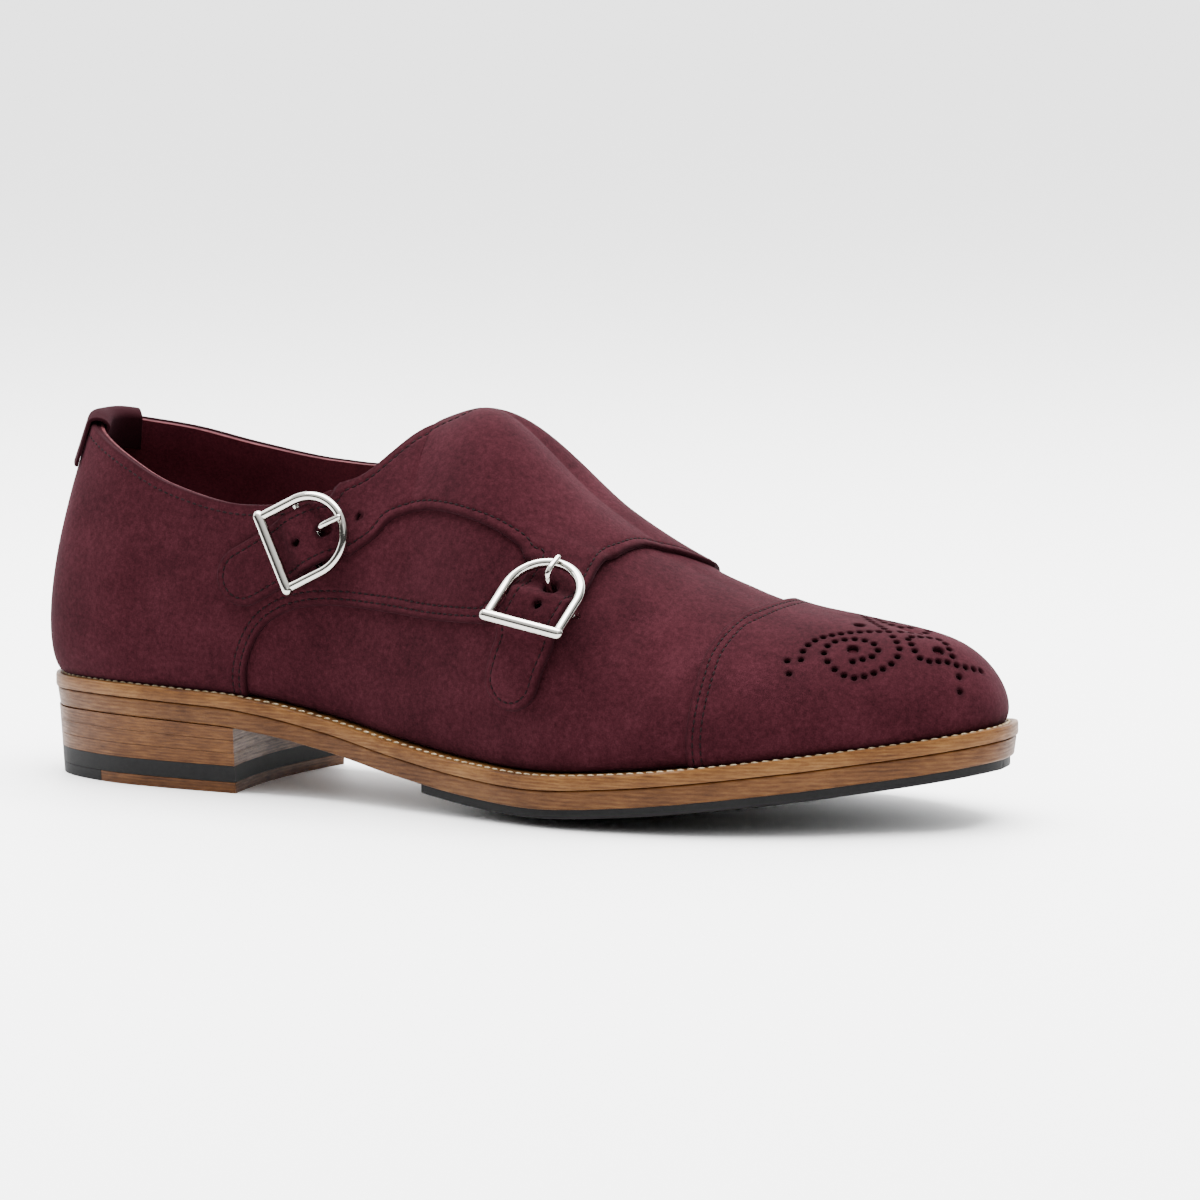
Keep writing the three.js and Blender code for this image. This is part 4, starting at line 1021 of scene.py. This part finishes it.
def holesInCap(points, tree):
    mirror = lambda spots: [(x, 2 * medallion["axis"] - y) for x, y in spots]
    small = list(medallion["tailPairs"])
    for curve in medallion["curves"]:
        small += evenlyAlong(curve, medallion["pitch"]).tolist()
    spots = [(spot, medallion["small"]) for spot in small + mirror(small)]
    spots += [(spot, medallion["big"]) for spot in medallion["onAxis"]]
    spots += [(spot, medallion["big"]) for spot in medallion["pairs"] + mirror(medallion["pairs"])]
    away = np.full(len(points), beyondReach)
    for (x, y), radius in spots:
        hit = tree.ray_cast(Vector((x, y, 200)), Vector((0, 0, -1)))[0]
        if hit is not None:
            away = np.minimum(away, np.linalg.norm(points - np.array(hit), axis=1) - radius)
    return away


def makeCap():
    fine = makeForm(450, 150)
    ahead = fine["points"][:, 0] > medallion["ahead"] * soleLength
    tris = fine["tris"][ahead[fine["tris"]].all(1)]
    tree = rayTree(fine["points"], tris)
    outline = np.where(ahead, insideCap(fine["points"]), -beyondReach)
    inside = np.minimum(outline, holesInCap(fine["points"], tree))
    edgeRound, rows = medallion["edgeRound"], overlay["rows"]
    sheet = laySheet({**fine, "tris": tris}, inside, overlay["lift"], overlayTop, outline, edgeRound, rows)
    return closeSheet("toeCapSuede", sheet, [materials["suede"]], edgeRound, rows), sheet


# The saddle and its straps reach a little into what they lie on, so that no light shows under them
saddleCut = {"sink": 0.2, "strapSink": 0.1, "strapMargin": 2, "rows": (2.2,)}


def makeSaddle():
    points, leg = form["points"], buckle["legLength"]
    rise, fall = buckle["rise"], buckle["fall"]
    inside = insideSaddleBody(points)
    lift = saddleLift(points) - saddleCut["sink"]
    wall = np.full(len(points), overlayWall + saddleCut["sink"])
    cuts = np.full(len(points), beyondReach)
    for name, strap in straps.items():
        place = buckles[name]
        strapInside, run, reach = strapFields(strap, place)
        strapInside = np.where(points[:, 1] < ridgeY, strapInside, -beyondReach)
        inside = softMax(inside, strapInside, buckle["rootBlend"])
        free = ramp(run, *buckle["rootEase"]) * (strapInside > -saddleCut["strapMargin"])
        up = ramp(reach, rise[0], leg - rise[1]) * (1 - ramp(reach, leg + fall[0], leg + fall[1]))
        tail = ramp(-reach, *buckle["tailEase"])
        strapLift = quarterLift * (1 - tail) + strap["tailLift"] * tail
        strapLift += (buckle["strapSlack"] + place["barRise"]) * up
        lift = lift * (1 - free) + (strapLift - saddleCut["strapSink"]) * free
        wall = wall * (1 - free) + (last["strapWall"] + saddleCut["strapSink"]) * free
        prongHole = place["middle"] + buckle["prongClear"] + buckle["prongRun"] + buckle["prongClimb"] / 2
        holes = [(prongHole, buckle["prongHoleRadius"])]
        holes += [(spare, buckle["holeRadius"]) for spare in strap["spareHoles"]]
        for hole, radius in holes:
            spot, _, _ = foot.under(place["at"](hole, 0, 0))
            cuts = np.minimum(cuts, np.linalg.norm(points - spot, axis=1) - radius)
    outline = np.minimum.reduce([inside, belowThroat(points), form["fromTop"] + 0.01])
    sheet = laySheet(form, np.minimum(outline, cuts), lift, wall, outline, rows=saddleCut["rows"])
    return closeSheet("saddleSuede", sheet, [materials["suede"]], rows=saddleCut["rows"]), sheet


def makeTongue():
    shape = [corner(*spot) for spot in seams["tongue"]] + [corner(0.330, aboveAll), corner(0.610, aboveAll)]
    openRun = len(seams["tongue"])
    inside = np.minimum(insideShape(sideView(coarse["points"]), shape, [openRun]), coarse["fromTop"] + 0.01)
    sheet = laySheet(coarse, inside, -upperWall - fitGap - last["tongueWall"], last["tongueWall"])
    return closeSheet("tongueSuede", sheet, [materials["suede"], materials["lining"], materials["rawEdge"]])


finishPiece(makeUpper(), "suede", "upper")
quarter, quarterSheet = makeQuarter()
finishPiece(quarter, "suede", "outer_quarter")
cap, capSheet = makeCap()
finishPiece(cap, "suede", "toe_cap")
saddle, saddleSheet = makeSaddle()
finishPiece(saddle, "suede", "saddle")
finishPiece(makeTongue(), "suede", "tongue")
print("upper laid", len(saddle.data.polygons), len(cap.data.polygons))


# The pull tab folds over the collar at the back seam
tab = {"height": 13.0, "wall": 1.0, "clear": 0.6, "inside": 0.7, "half": 1.7, "stations": 25, "arch": 1.2}


def dropPoint(place, drop):
    line = formPoint(np.full(97, place), np.linspace(0, 1, 97))
    length = lengthAlong(line)
    return alongLine(line, length, length[-1] - drop)


def makeHeelTab():
    outer = overlayWall + fitGap + tab["clear"]
    inner = -upperWall - tab["clear"]
    wall, rows = tab["wall"], []
    for place in np.linspace(-tab["half"], tab["half"], tab["stations"]):
        drops = (tab["height"], tab["inside"] * tab["height"], 0)
        low, inside, top = (dropPoint(place % whole, drop) for drop in drops)
        along = topPoint((place + 0.05) % whole) - topPoint((place - 0.05) % whole)
        up = unit(top - low)
        out = unit(np.cross(along, up))
        middle, reach = (outer + inner) / 2, (outer - inner) / 2
        section = [low + out * outer]
        arch = lambda a, more: (top + out * (middle + (reach + more) * math.cos(a))
                                + up * (fitGap + (tab["arch"] + more) * math.sin(a)))
        section += [arch(a, 0) for a in np.linspace(0, math.pi, 9)]
        section += [inside + out * inner, inside + out * (inner - wall)]
        section += [arch(a, wall) for a in np.linspace(math.pi, 0, 13)]
        section += [low + out * (outer + wall)]
        rows.append(np.array(section))
    rings, sides = len(rows), len(rows[0])
    piece = makeObject("heelTabSuede", np.concatenate(rows), ringFaces(rings, sides) + endFaces(rings, sides),
                       [materials["suede"]])
    return finishPiece(softenEdges(piece, 0.25, 2, 60), "suede", "heel_tab")


makeHeelTab()


# Sole and heel, plates with stations from heel to toe
def placeAt(x):
    fine = np.linspace(0, half, 4001)
    return np.interp(x, outlinePoint(fine)[:, 0], fine)


def stationPlaces(fromX, toX, spacing=2.0):
    fine = np.linspace(0, half, 2001)
    spots = outlinePoint(fine)
    length = lengthAlong(spots)
    endPlace = half if toX >= soleLength else placeAt(toX)
    start, end = np.interp([placeAt(fromX), endPlace], fine, length)
    count = max(int((end - start) / spacing), 4)
    return np.interp(np.linspace(start, end, count + 1), length, fine)


# Spots from the outer rim to the inner one at each station, and how far across each lies, from -1 to 1
def plateGrid(places, cells, inset):
    share = np.linspace(0, 1, cells + 1)
    outer, inner = insetPoint(places, inset), insetPoint(whole - places, inset)
    spots = outer[:, None] * (1 - share)[:, None] + inner[:, None] * share[:, None]
    return spots, np.broadcast_to(2 * share - 1, spots.shape[:2])


def makePlate(name, places, cells, insetLow, insetTop, heights, material, hollow=None, bevel=0.5, segments=3):
    levels = []
    for level, inset in enumerate((insetLow, insetTop)):
        spots, across = plateGrid(places, cells, inset(places))
        x = spots[..., 0].copy()
        if hollow is not None:
            x -= hollow(x) * (1 - across ** 2)
        levels.append(np.stack([x, spots[..., 1], heights(x, across)[level]], -1).reshape(-1, 3))
    total = len(levels[0])
    ids = np.arange(total).reshape(len(places), -1)
    over = gridFaces(*ids.shape)
    faces = [face[:1] + face[:0:-1] for face in over] + [[index + total for index in face] for face in over]
    there, back = [*ids[:, 0], *ids[-1, 1:]], [*ids[::-1, -1], *ids[0, -2::-1]]
    faces += [[near, far, far + total, near + total] for near, far in zip(there, there[1:])]
    faces += [[far, far + total, near + total, near] for near, far in zip(back, back[1:])]
    piece = weld(makeObject(name, np.concatenate(levels), faces, [material]))
    return softenEdges(piece, bevel, segments) if bevel else piece


heel = {
    "length": 75.5, "inset": 0.9, "taper": 1.1, "breastHollow": 3.5, "lifts": 3, "blackLift": 4.2,
    "topPiece": 3.1, "split": 27.0, "cells": 16, "spacing": 1.6, "bevel": 0.14,
    "seam": 0.1,  # dark line between two layers
}
sole = {
    "step": 0.5, "taper": 0.6, "cells": 16, "round": 0.6, "rubberInset": 2.2, "rubberStart": 0.47,
    "closeGap": 0.18,                      # the outsole reaches up towards the welt by this much
    "rubberTop": 0.08, "rubberMore": 0.22,  # air over the rubber, and what it takes from the gap beneath
}


def constant(value):
    return lambda places: np.full(np.shape(places), float(value))


def makeHeelSlab(name, low, top, material, fromX=0.0, toX=None):
    toX = heel["length"] if toX is None else toX
    seat = float(soleHeight(0))

    def inset(level):
        return constant(heel["inset"] + heel["taper"] * (1 - min(float(level(np.array(0.0))) / seat, 1)))

    def hollow(x):
        start = heel["length"] / 2
        return heel["breastHollow"] * np.maximum(0, (x - start) / (heel["length"] - start)) ** 2

    return makePlate(name, stationPlaces(fromX, toX, heel["spacing"]), heel["cells"], inset(low), inset(top),
                     lambda x, across: (low(x), top(x)), material, hollow, heel["bevel"], segments=2)


# A full-length plate whose rim is rounded all the way round
def makeOutsole():
    places = stationPlaces(0, soleLength)
    ring = bothSides(places)
    wall, radius, taper = last["outsoleWall"] + sole["closeGap"], sole["round"], sole["taper"]
    shells = []
    for inset, rise, turn in ((taper, 0, -1), (0, wall, 1)):
        spots, across = plateGrid(places, sole["cells"], np.full(len(places), radius + sole["step"] + inset))
        level = soleUnder(spots[..., 0], across) + rise
        shells.append((np.dstack([spots, level]).reshape(-1, 3),
                       [face[::turn] for face in gridFaces(*level.shape)]))
    quarter = [(radius * (1 - math.sin(a)), radius * (1 - math.cos(a))) for a in np.linspace(0, math.pi / 2, 5)]
    profile = [(inset + taper, rise) for inset, rise in quarter]
    profile += [(inset, wall - rise) for inset, rise in quarter[::-1]]
    rim = [ringAt(ring, sole["step"] + inset, rise) for inset, rise in profile]
    points, faces = joinShells([*shells, (np.concatenate(rim), ringFaces(len(rim), len(ring)))])
    piece = makeObject("outsoleLeather", points, faces, [materials["sole"]], smoothAngle=50)
    return finishPiece(weld(piece, 0.03), "sole_leather", "outsole")


def makeSole():
    makeOutsole()
    insideUpper = lambda places: weltSeat(places) + upperWall + fitGap

    def insoleHeights(x, across):
        low = soleUnder(x, across) + weltFoot
        return low, low + last["weltWall"] + last["insoleWall"]

    insole = makePlate("insoleLeather", stationPlaces(0, soleLength, 3.0), 12, insideUpper, insideUpper,
                       insoleHeights, materials["lining"], bevel=0)
    finishPiece(insole, "lining_leather", "insole")

    def rubberHeights(x, across):
        top = soleUnder(x, across) - sole["rubberTop"]
        return np.maximum(top - last["rubberWall"] - sole["rubberMore"], 0), top

    rubber = makePlate("forepartRubberSole", stationPlaces(soleLength * sole["rubberStart"], soleLength), 24,
                       constant(sole["rubberInset"]), constant(sole["rubberInset"]), rubberHeights,
                       materials["rubber"], bevel=0.35)
    finishPiece(rubber, "sole_rubber", "forepart_rubber")


def makeHeel():
    blackTop = heel["topPiece"] + fitGap + heel["blackLift"]
    bottom = blackTop + fitGap

    def level(step):
        return lambda x: bottom + (soleHeight(x) - bottom) * step / heel["lifts"]

    for index in range(heel["lifts"]):
        low, top = level(index), level(index + 1)
        under = lambda x, top=top: top(x) - heel["seam"]
        lift = makeHeelSlab(f"heelLift{index + 1}", low, under, materials["heel"])
        finishPiece(lift, "heel_leather", f"heel_lift_{index + 1}")
    flat = lambda value: (lambda x: np.full(np.shape(x), float(value)))
    black = makeHeelSlab("heelBlackLift", flat(heel["topPiece"] + heel["seam"]), flat(bottom - heel["seam"]),
                         materials["rubber"])
    finishPiece(black, "sole_rubber", "heel_black_lift")
    front = makeHeelSlab("topPieceLeather", flat(0), flat(heel["topPiece"]), materials["heel"],
                         fromX=heel["split"] + heel["seam"] / 2)
    finishPiece(front, "heel_leather", "top_piece_leather")
    back = makeHeelSlab("topPieceRubber", flat(0), flat(heel["topPiece"]), materials["rubber"],
                        toX=heel["split"] - heel["seam"] / 2)
    finishPiece(back, "sole_rubber", "top_piece_rubber")


welt = {"stitchInset": 2.5, "stitchPitch": 2.9, "stitchLength": 2.3, "stitchWide": 0.75, "stitchRise": 0.15,
        "channel": 0.25}


def makeWelt():
    wall, places = last["weltWall"], stationPlaces(0, soleLength, 1.6)
    ring = bothSides(places)
    seat = weltSeat(ring) + upperWall
    profile = [(0.5, 0), (0.12, 0.1), (0, 0.5), (0, wall - 0.75), (0.16, wall - 0.22), (0.6, wall - 0.02),
               (welt["stitchInset"] - 0.7, wall), (welt["stitchInset"] - 0.35, wall - welt["channel"]),
               (welt["stitchInset"] + 0.35, wall - welt["channel"]), (welt["stitchInset"] + 0.7, wall),
               (seat, wall), (seat, 0)]
    rows = [ringAt(ring, inset, weltFoot + rise) for inset, rise in profile]
    faces = [face[::-1] for face in ringFaces(len(ring), len(rows), closed=True)]
    piece = makeObject("weltLeatherStrip", np.stack(rows, 1).reshape(-1, 3), faces, [materials["welt"]],
                       smoothAngle=50)
    return finishPiece(piece, "welt_leather", "welt")


makeSole()
makeHeel()
makeWelt()
print("sole made")


# Buckles
def sweep(path, radius, sides=20, squash=1.0, out=None):
    path = np.asarray(path, float)
    radius = np.broadcast_to(radius, len(path))
    tangent = unit(np.gradient(path, axis=0))
    up = unit(out - tangent * (tangent @ out)[:, None])
    side = np.cross(tangent, up)
    angle = np.linspace(0, 2 * math.pi, sides, endpoint=False)
    ring = side[:, None] * np.cos(angle)[:, None] + up[:, None] * squash * np.sin(angle)[:, None]
    points = (path[:, None, :] + ring * radius[:, None, None]).reshape(-1, 3)
    return points, ringFaces(len(path), sides) + endFaces(len(path), sides)


# Rounds both ends of a swept rod
def domed(path, radius, count=5):
    angles = (np.linspace(0.12, 1, count) * math.pi / 2)[:-1]
    steps, cap = radius * np.cos(angles)[:, None], radius * np.sin(angles)
    first = path[0] - unit(path[1] - path[0]) * steps
    end = path[-1] + unit(path[-1] - path[-2]) * steps[::-1]
    return np.vstack([first, path, end]), np.concatenate([cap, np.full(len(path), radius), cap[::-1]])


def makeBuckle(name):
    place = buckles[name]
    at, out, middle, level = place["at"], place["out"], place["middle"], place["barLevel"]
    width, leg = buckle["bowRadius"], buckle["legLength"]
    bow = [at(step * leg, -width, 0) for step in np.linspace(0, 1, 8)[:-1]]
    bow += [at(leg + width * math.sin(a), -width * math.cos(a), 0) for a in np.linspace(0, math.pi, 41)]
    bow += [at(step * leg, width, 0) for step in np.linspace(1, 0, 8)[1:]]
    thicker = buckle["barRadius"] - buckle["wireRadius"]
    barHalf = buckle["barLength"] / 2 - 0.6
    bar = np.array([at(0, y, thicker) for y in np.linspace(-barHalf, barHalf, 13)])
    centre = [at(middle, -width, level * step) for step in np.linspace(0, 0.8, 4)]
    centre += [at(middle, width * y, level) for y in np.linspace(-0.85, 0.85, 13)]
    centre += [at(middle, width, level * step) for step in np.linspace(0.8, 0, 4)]
    barPath, barRadius = domed(bar, buckle["barRadius"])
    points, faces = joinShells([
        sweep(bow, buckle["wireRadius"], 24, 1.0, out),
        sweep(barPath, barRadius, 24, 1.0, out),
        sweep(centre, buckle["centreBarRadius"], 12, 1.0, out + place["along"] * 0.3),
    ])
    piece = makeObject(f"{name}Buckle", points, faces, [materials["silver"]], smoothAngle=60)
    return finishPiece(piece, "buckle_metal", f"buckle_{name}")


def makeProng(name):
    place = buckles[name]
    at, middle, level = place["at"], place["middle"], place["barLevel"]
    top = buckle["wireRadius"] + buckle["prongRadius"] + fitGap
    start = middle + buckle["centreBarRadius"] + fitGap + buckle["prongRadius"]
    marks = np.array([(start, level), (start + buckle["prongRun"], level),
                      (start + buckle["prongRun"] + buckle["prongClimb"], top),
                      (buckle["legLength"] + buckle["bowRadius"] + 0.3, top)])
    line = curveThrough(marks, 24, scale=[1, 1])
    path = np.array([at(along, 0, out) for along, out in line])
    path, radius = domed(path, buckle["prongRadius"])
    points, faces = sweep(path, radius, 16, 0.85, place["out"])
    piece = makeObject(f"{name}Prong", points, faces, [materials["silver"]], smoothAngle=60)
    return finishPiece(piece, "buckle_metal", f"prong_{name}")


for name in straps:
    makeBuckle(name)
    makeProng(name)
print("buckles made")


# Stitches: Geometry Nodes lay one short thread at each step of a seam's path
def makeStitchTree():
    tree = bpy.data.node_groups.new("stitchRow", "GeometryNodeTree")
    for label, kind, value in (("Path", "NodeSocketGeometry", None), ("Pitch", "NodeSocketFloat", 0.003),
                               ("Length", "NodeSocketFloat", 0.002), ("Wide", "NodeSocketFloat", 0.0005),
                               ("Thread", "NodeSocketMaterial", None)):
        socket = tree.interface.new_socket(label, in_out="INPUT", socket_type=kind)
        if value is not None:
            socket.default_value = value
    tree.interface.new_socket("Stitches", in_out="OUTPUT", socket_type="NodeSocketGeometry")
    start = tree.nodes.new("NodeGroupInput")
    end = tree.nodes.new("NodeGroupOutput")
    toCurve = addNode(tree, "GeometryNodeMeshToCurve", {"Mesh": start.outputs["Path"]})
    spaced = addNode(tree, "GeometryNodeResampleCurve", {"Curve": toCurve.outputs[0],
                                                         "Length": start.outputs["Pitch"]}, mode="LENGTH")
    ball = addNode(tree, "GeometryNodeMeshUVSphere", {"Segments": 8, "Rings": 6, "Radius": 0.5})
    size = addNode(tree, "ShaderNodeCombineXYZ", {"X": start.outputs["Length"], "Y": start.outputs["Wide"],
                                                  "Z": start.outputs["Wide"]})
    thread = addNode(tree, "GeometryNodeTransform", {"Geometry": ball.outputs["Mesh"],
                                                     "Scale": size.outputs[0]})
    away = addNode(tree, "GeometryNodeInputNamedAttribute", {"Name": "away"}, data_type="FLOAT_VECTOR")
    tangent = tree.nodes.new("GeometryNodeInputTangent")
    upward = addNode(tree, "FunctionNodeAlignRotationToVector", {"Vector": away.outputs["Attribute"]}, axis="Z")
    along = addNode(tree, "FunctionNodeAlignRotationToVector", {"Rotation": upward.outputs[0],
                                                               "Vector": tangent.outputs[0]},
                    axis="X", pivot_axis="Z")
    placed = addNode(tree, "GeometryNodeInstanceOnPoints", {"Points": spaced.outputs[0],
                                                            "Instance": thread.outputs[0],
                                                            "Rotation": along.outputs[0]})
    real = addNode(tree, "GeometryNodeRealizeInstances", {"Geometry": placed.outputs[0]})
    dressed = addNode(tree, "GeometryNodeSetMaterial", {"Geometry": real.outputs[0],
                                                        "Material": start.outputs["Thread"]})
    tree.links.new(dressed.outputs[0], end.inputs["Stitches"])
    return tree


stitchTree = makeStitchTree()


def setInput(modifier, label, value):
    for item in modifier.node_group.interface.items_tree:
        if item.item_type == "SOCKET" and item.in_out == "INPUT" and item.name == label:
            modifier[item.identifier] = value


def makeStitches(name, runs, pitch, length, wide, thread, slot):
    points, edges, away = [], [], []
    for spots, normals in runs:
        first = len(points)
        points += spots.tolist()
        away += normals.tolist()
        edges += [(first + step, first + step + 1) for step in range(len(spots) - 1)]
    mesh = bpy.data.meshes.new(name)
    placed = (np.array(points) + shift) / 1000
    mesh.from_pydata([tuple(point) for point in placed.tolist()], edges, [])
    layer = mesh.attributes.new("away", "FLOAT_VECTOR", "POINT")
    layer.data.foreach_set("vector", np.array(away, dtype=np.float32).ravel())
    piece = addObject(name, mesh)
    modifier = piece.modifiers.new("stitches", "NODES")
    modifier.node_group = stitchTree
    for label, value in (("Pitch", pitch / 1000), ("Length", length / 1000), ("Wide", wide / 1000),
                         ("Thread", thread)):
        setInput(modifier, label, value)
    bake(piece)
    piece.data.shade_smooth()
    return finishPiece(piece, slot)


# Runs along a sheet at a distance in from its edge, on top of the leather
def seamRuns(sheet, inset, keep=None, sink=0.2):
    data, runs = traceLevel(sheet[0], sheet[1], 9, inset)
    result = []
    for run in runs:
        rows = data[run]
        normals = unit(rows[:, 3:6])
        spots = rows[:, :3] + normals * (rows[:, 7] + rows[:, 8] - sink)[:, None]
        wanted = keep(rows) if keep is not None else np.ones(len(rows), dtype=bool)
        pieces = np.split(np.arange(len(rows)), np.flatnonzero(np.diff(wanted.astype(int))) + 1)
        for part in pieces:
            if wanted[part[0]] and len(part) > 4:
                result.append((spots[part], normals[part]))
    return result


def ringRun(inset, rise):
    spots = ringAt(np.linspace(0, whole, 900), inset, weltFoot + rise)
    return spots, np.tile([0.0, 0.0, 1.0], (len(spots), 1))


def makeRow(name, runs):
    makeStitches(name, runs, thread["pitch"], thread["length"], thread["wide"], materials["darkThread"],
                 "suede")


# The collar's row: how far in from the edge, from which share of the instep's height up, and how deep
collarRow = {"inset": 3.0, "above": 0.70, "sink": 0.05}


def makeAllStitches():
    weltRun = ringRun(welt["stitchInset"], last["weltWall"] - welt["channel"] + welt["stitchRise"])
    makeStitches("weltStitches", [weltRun], welt["stitchPitch"], welt["stitchLength"], welt["stitchWide"],
                 materials["creamThread"], "welt_leather")
    makeRow("capStitches", [run for row in overlay["rows"] for run in seamRuns(capSheet, row)])
    lowQuarter = lambda spots: spots[:, 2] < quarterRowTop
    collar = lambda spots: spots[:, 2] > collarRow["above"] * instepHeight
    quarterRuns = [run for row in overlay["rows"] for run in seamRuns(quarterSheet, row, lowQuarter)]
    quarterRuns += seamRuns(quarterSheet, collarRow["inset"], collar, collarRow["sink"])
    makeRow("quarterStitches", quarterRuns)
    makeRow("saddleStitches", seamRuns(saddleSheet, saddleCut["rows"][0]))


makeAllStitches()
print("stitches laid")


# Stage, camera and lights
view = {"azimuth": 28.05, "elevation": 7.13, "distance": 1800, "focal": 6390, "picture": 1200,
        "aimRight": 25.8, "aimUp": 10.05, "roll": -0.53, "aim": (146.3, 0, 45), "sensor": 36}


def makeCamera():
    azimuth, elevation = math.radians(view["azimuth"]), math.radians(view["elevation"])
    back = np.array([math.sin(azimuth) * math.cos(elevation), -math.cos(azimuth) * math.cos(elevation),
                     math.sin(elevation)])
    right = np.array([math.cos(azimuth), math.sin(azimuth), 0])
    up = np.cross(back, right)
    roll = math.radians(view["roll"])
    right, up = right * math.cos(roll) + up * math.sin(roll), -right * math.sin(roll) + up * math.cos(roll)
    aim = np.array(view["aim"]) + shift + right * view["aimRight"] + up * view["aimUp"]
    spot = (aim + back * view["distance"]) / 1000
    data = bpy.data.cameras.new("camera")
    data.sensor_width = view["sensor"]
    data.lens = view["focal"] / view["picture"] * view["sensor"]
    data.clip_end = 100
    camera = addObject("camera", data)
    turned = Matrix(np.column_stack([right, up, back]).tolist()).to_4x4()
    camera.matrix_world = Matrix.Translation(Vector(spot)) @ turned
    bpy.context.scene.camera = camera


# A white wall behind the shoe and a pale ceiling. The side that the camera stands on is dimmer.
room = {"wallToward": (-0.47, 0.88, 0), "wallEdge": (0.35, 0.75), "wall": 5.5, "ceilingEdge": (0.3, 0.9),
        "ceiling": 2.6, "dim": 0.10, "floor": 20.0}


def makeStage():
    mesh = bpy.data.meshes.new("floor")
    reach = room["floor"]
    corners = [(x * reach, y * reach, 0) for x, y in ((-1, -1), (1, -1), (1, 1), (-1, 1))]
    mesh.from_pydata(corners, [], [(0, 1, 2, 3)])
    floor = addObject("floor", mesh)
    material, _, _ = newMaterial("paleFloor", Roughness=0.6, Base_Color=(0.92, 0.92, 0.92, 1))
    mesh.materials.append(material)
    world = bpy.data.worlds.new("softRoom")
    bpy.context.scene.world = world
    world.use_nodes = True
    tree = world.node_tree
    toward = addNode(tree, "ShaderNodeTexCoord").outputs["Generated"]
    ahead = addNode(tree, "ShaderNodeVectorMath", {0: toward, 1: room["wallToward"]}, operation="DOT_PRODUCT")
    tall = addNode(tree, "ShaderNodeSeparateXYZ", {0: toward}).outputs["Z"]
    wall = rangeNode(tree, ahead.outputs["Value"], *room["wallEdge"], 0, room["wall"])
    ceiling = rangeNode(tree, tall, *room["ceilingEdge"], 0, room["ceiling"])
    total = mathNode(tree, "ADD", mathNode(tree, "ADD", wall, ceiling), room["dim"])
    tree.nodes["Background"].inputs["Color"].default_value = (1, 1, 1, 1)
    tree.links.new(total, tree.nodes["Background"].inputs["Strength"])


def addLight(name, spot, target, size, power):
    data = bpy.data.lights.new(name, "AREA")
    data.shape = "RECTANGLE"
    data.size, data.size_y = size
    data.energy = power
    light = addObject(name, data)
    light.location = spot
    light.rotation_euler = (Vector(target) - Vector(spot)).to_track_quat("-Z", "Y").to_euler()


makeCamera()
makeStage()
addLight("topBox", (0.0, 0.15, 1.3), (0, 0, 0.04), (1.5, 1.2), 104)
addLight("leftBox", (-1.3, -0.35, 0.75), (-0.05, 0, 0.05), (0.7, 0.9), 10)
addLight("frontBox", (0.9, -1.3, 0.8), (0.05, 0, 0.04), (0.4, 0.4), 1.2)
print("stage set")
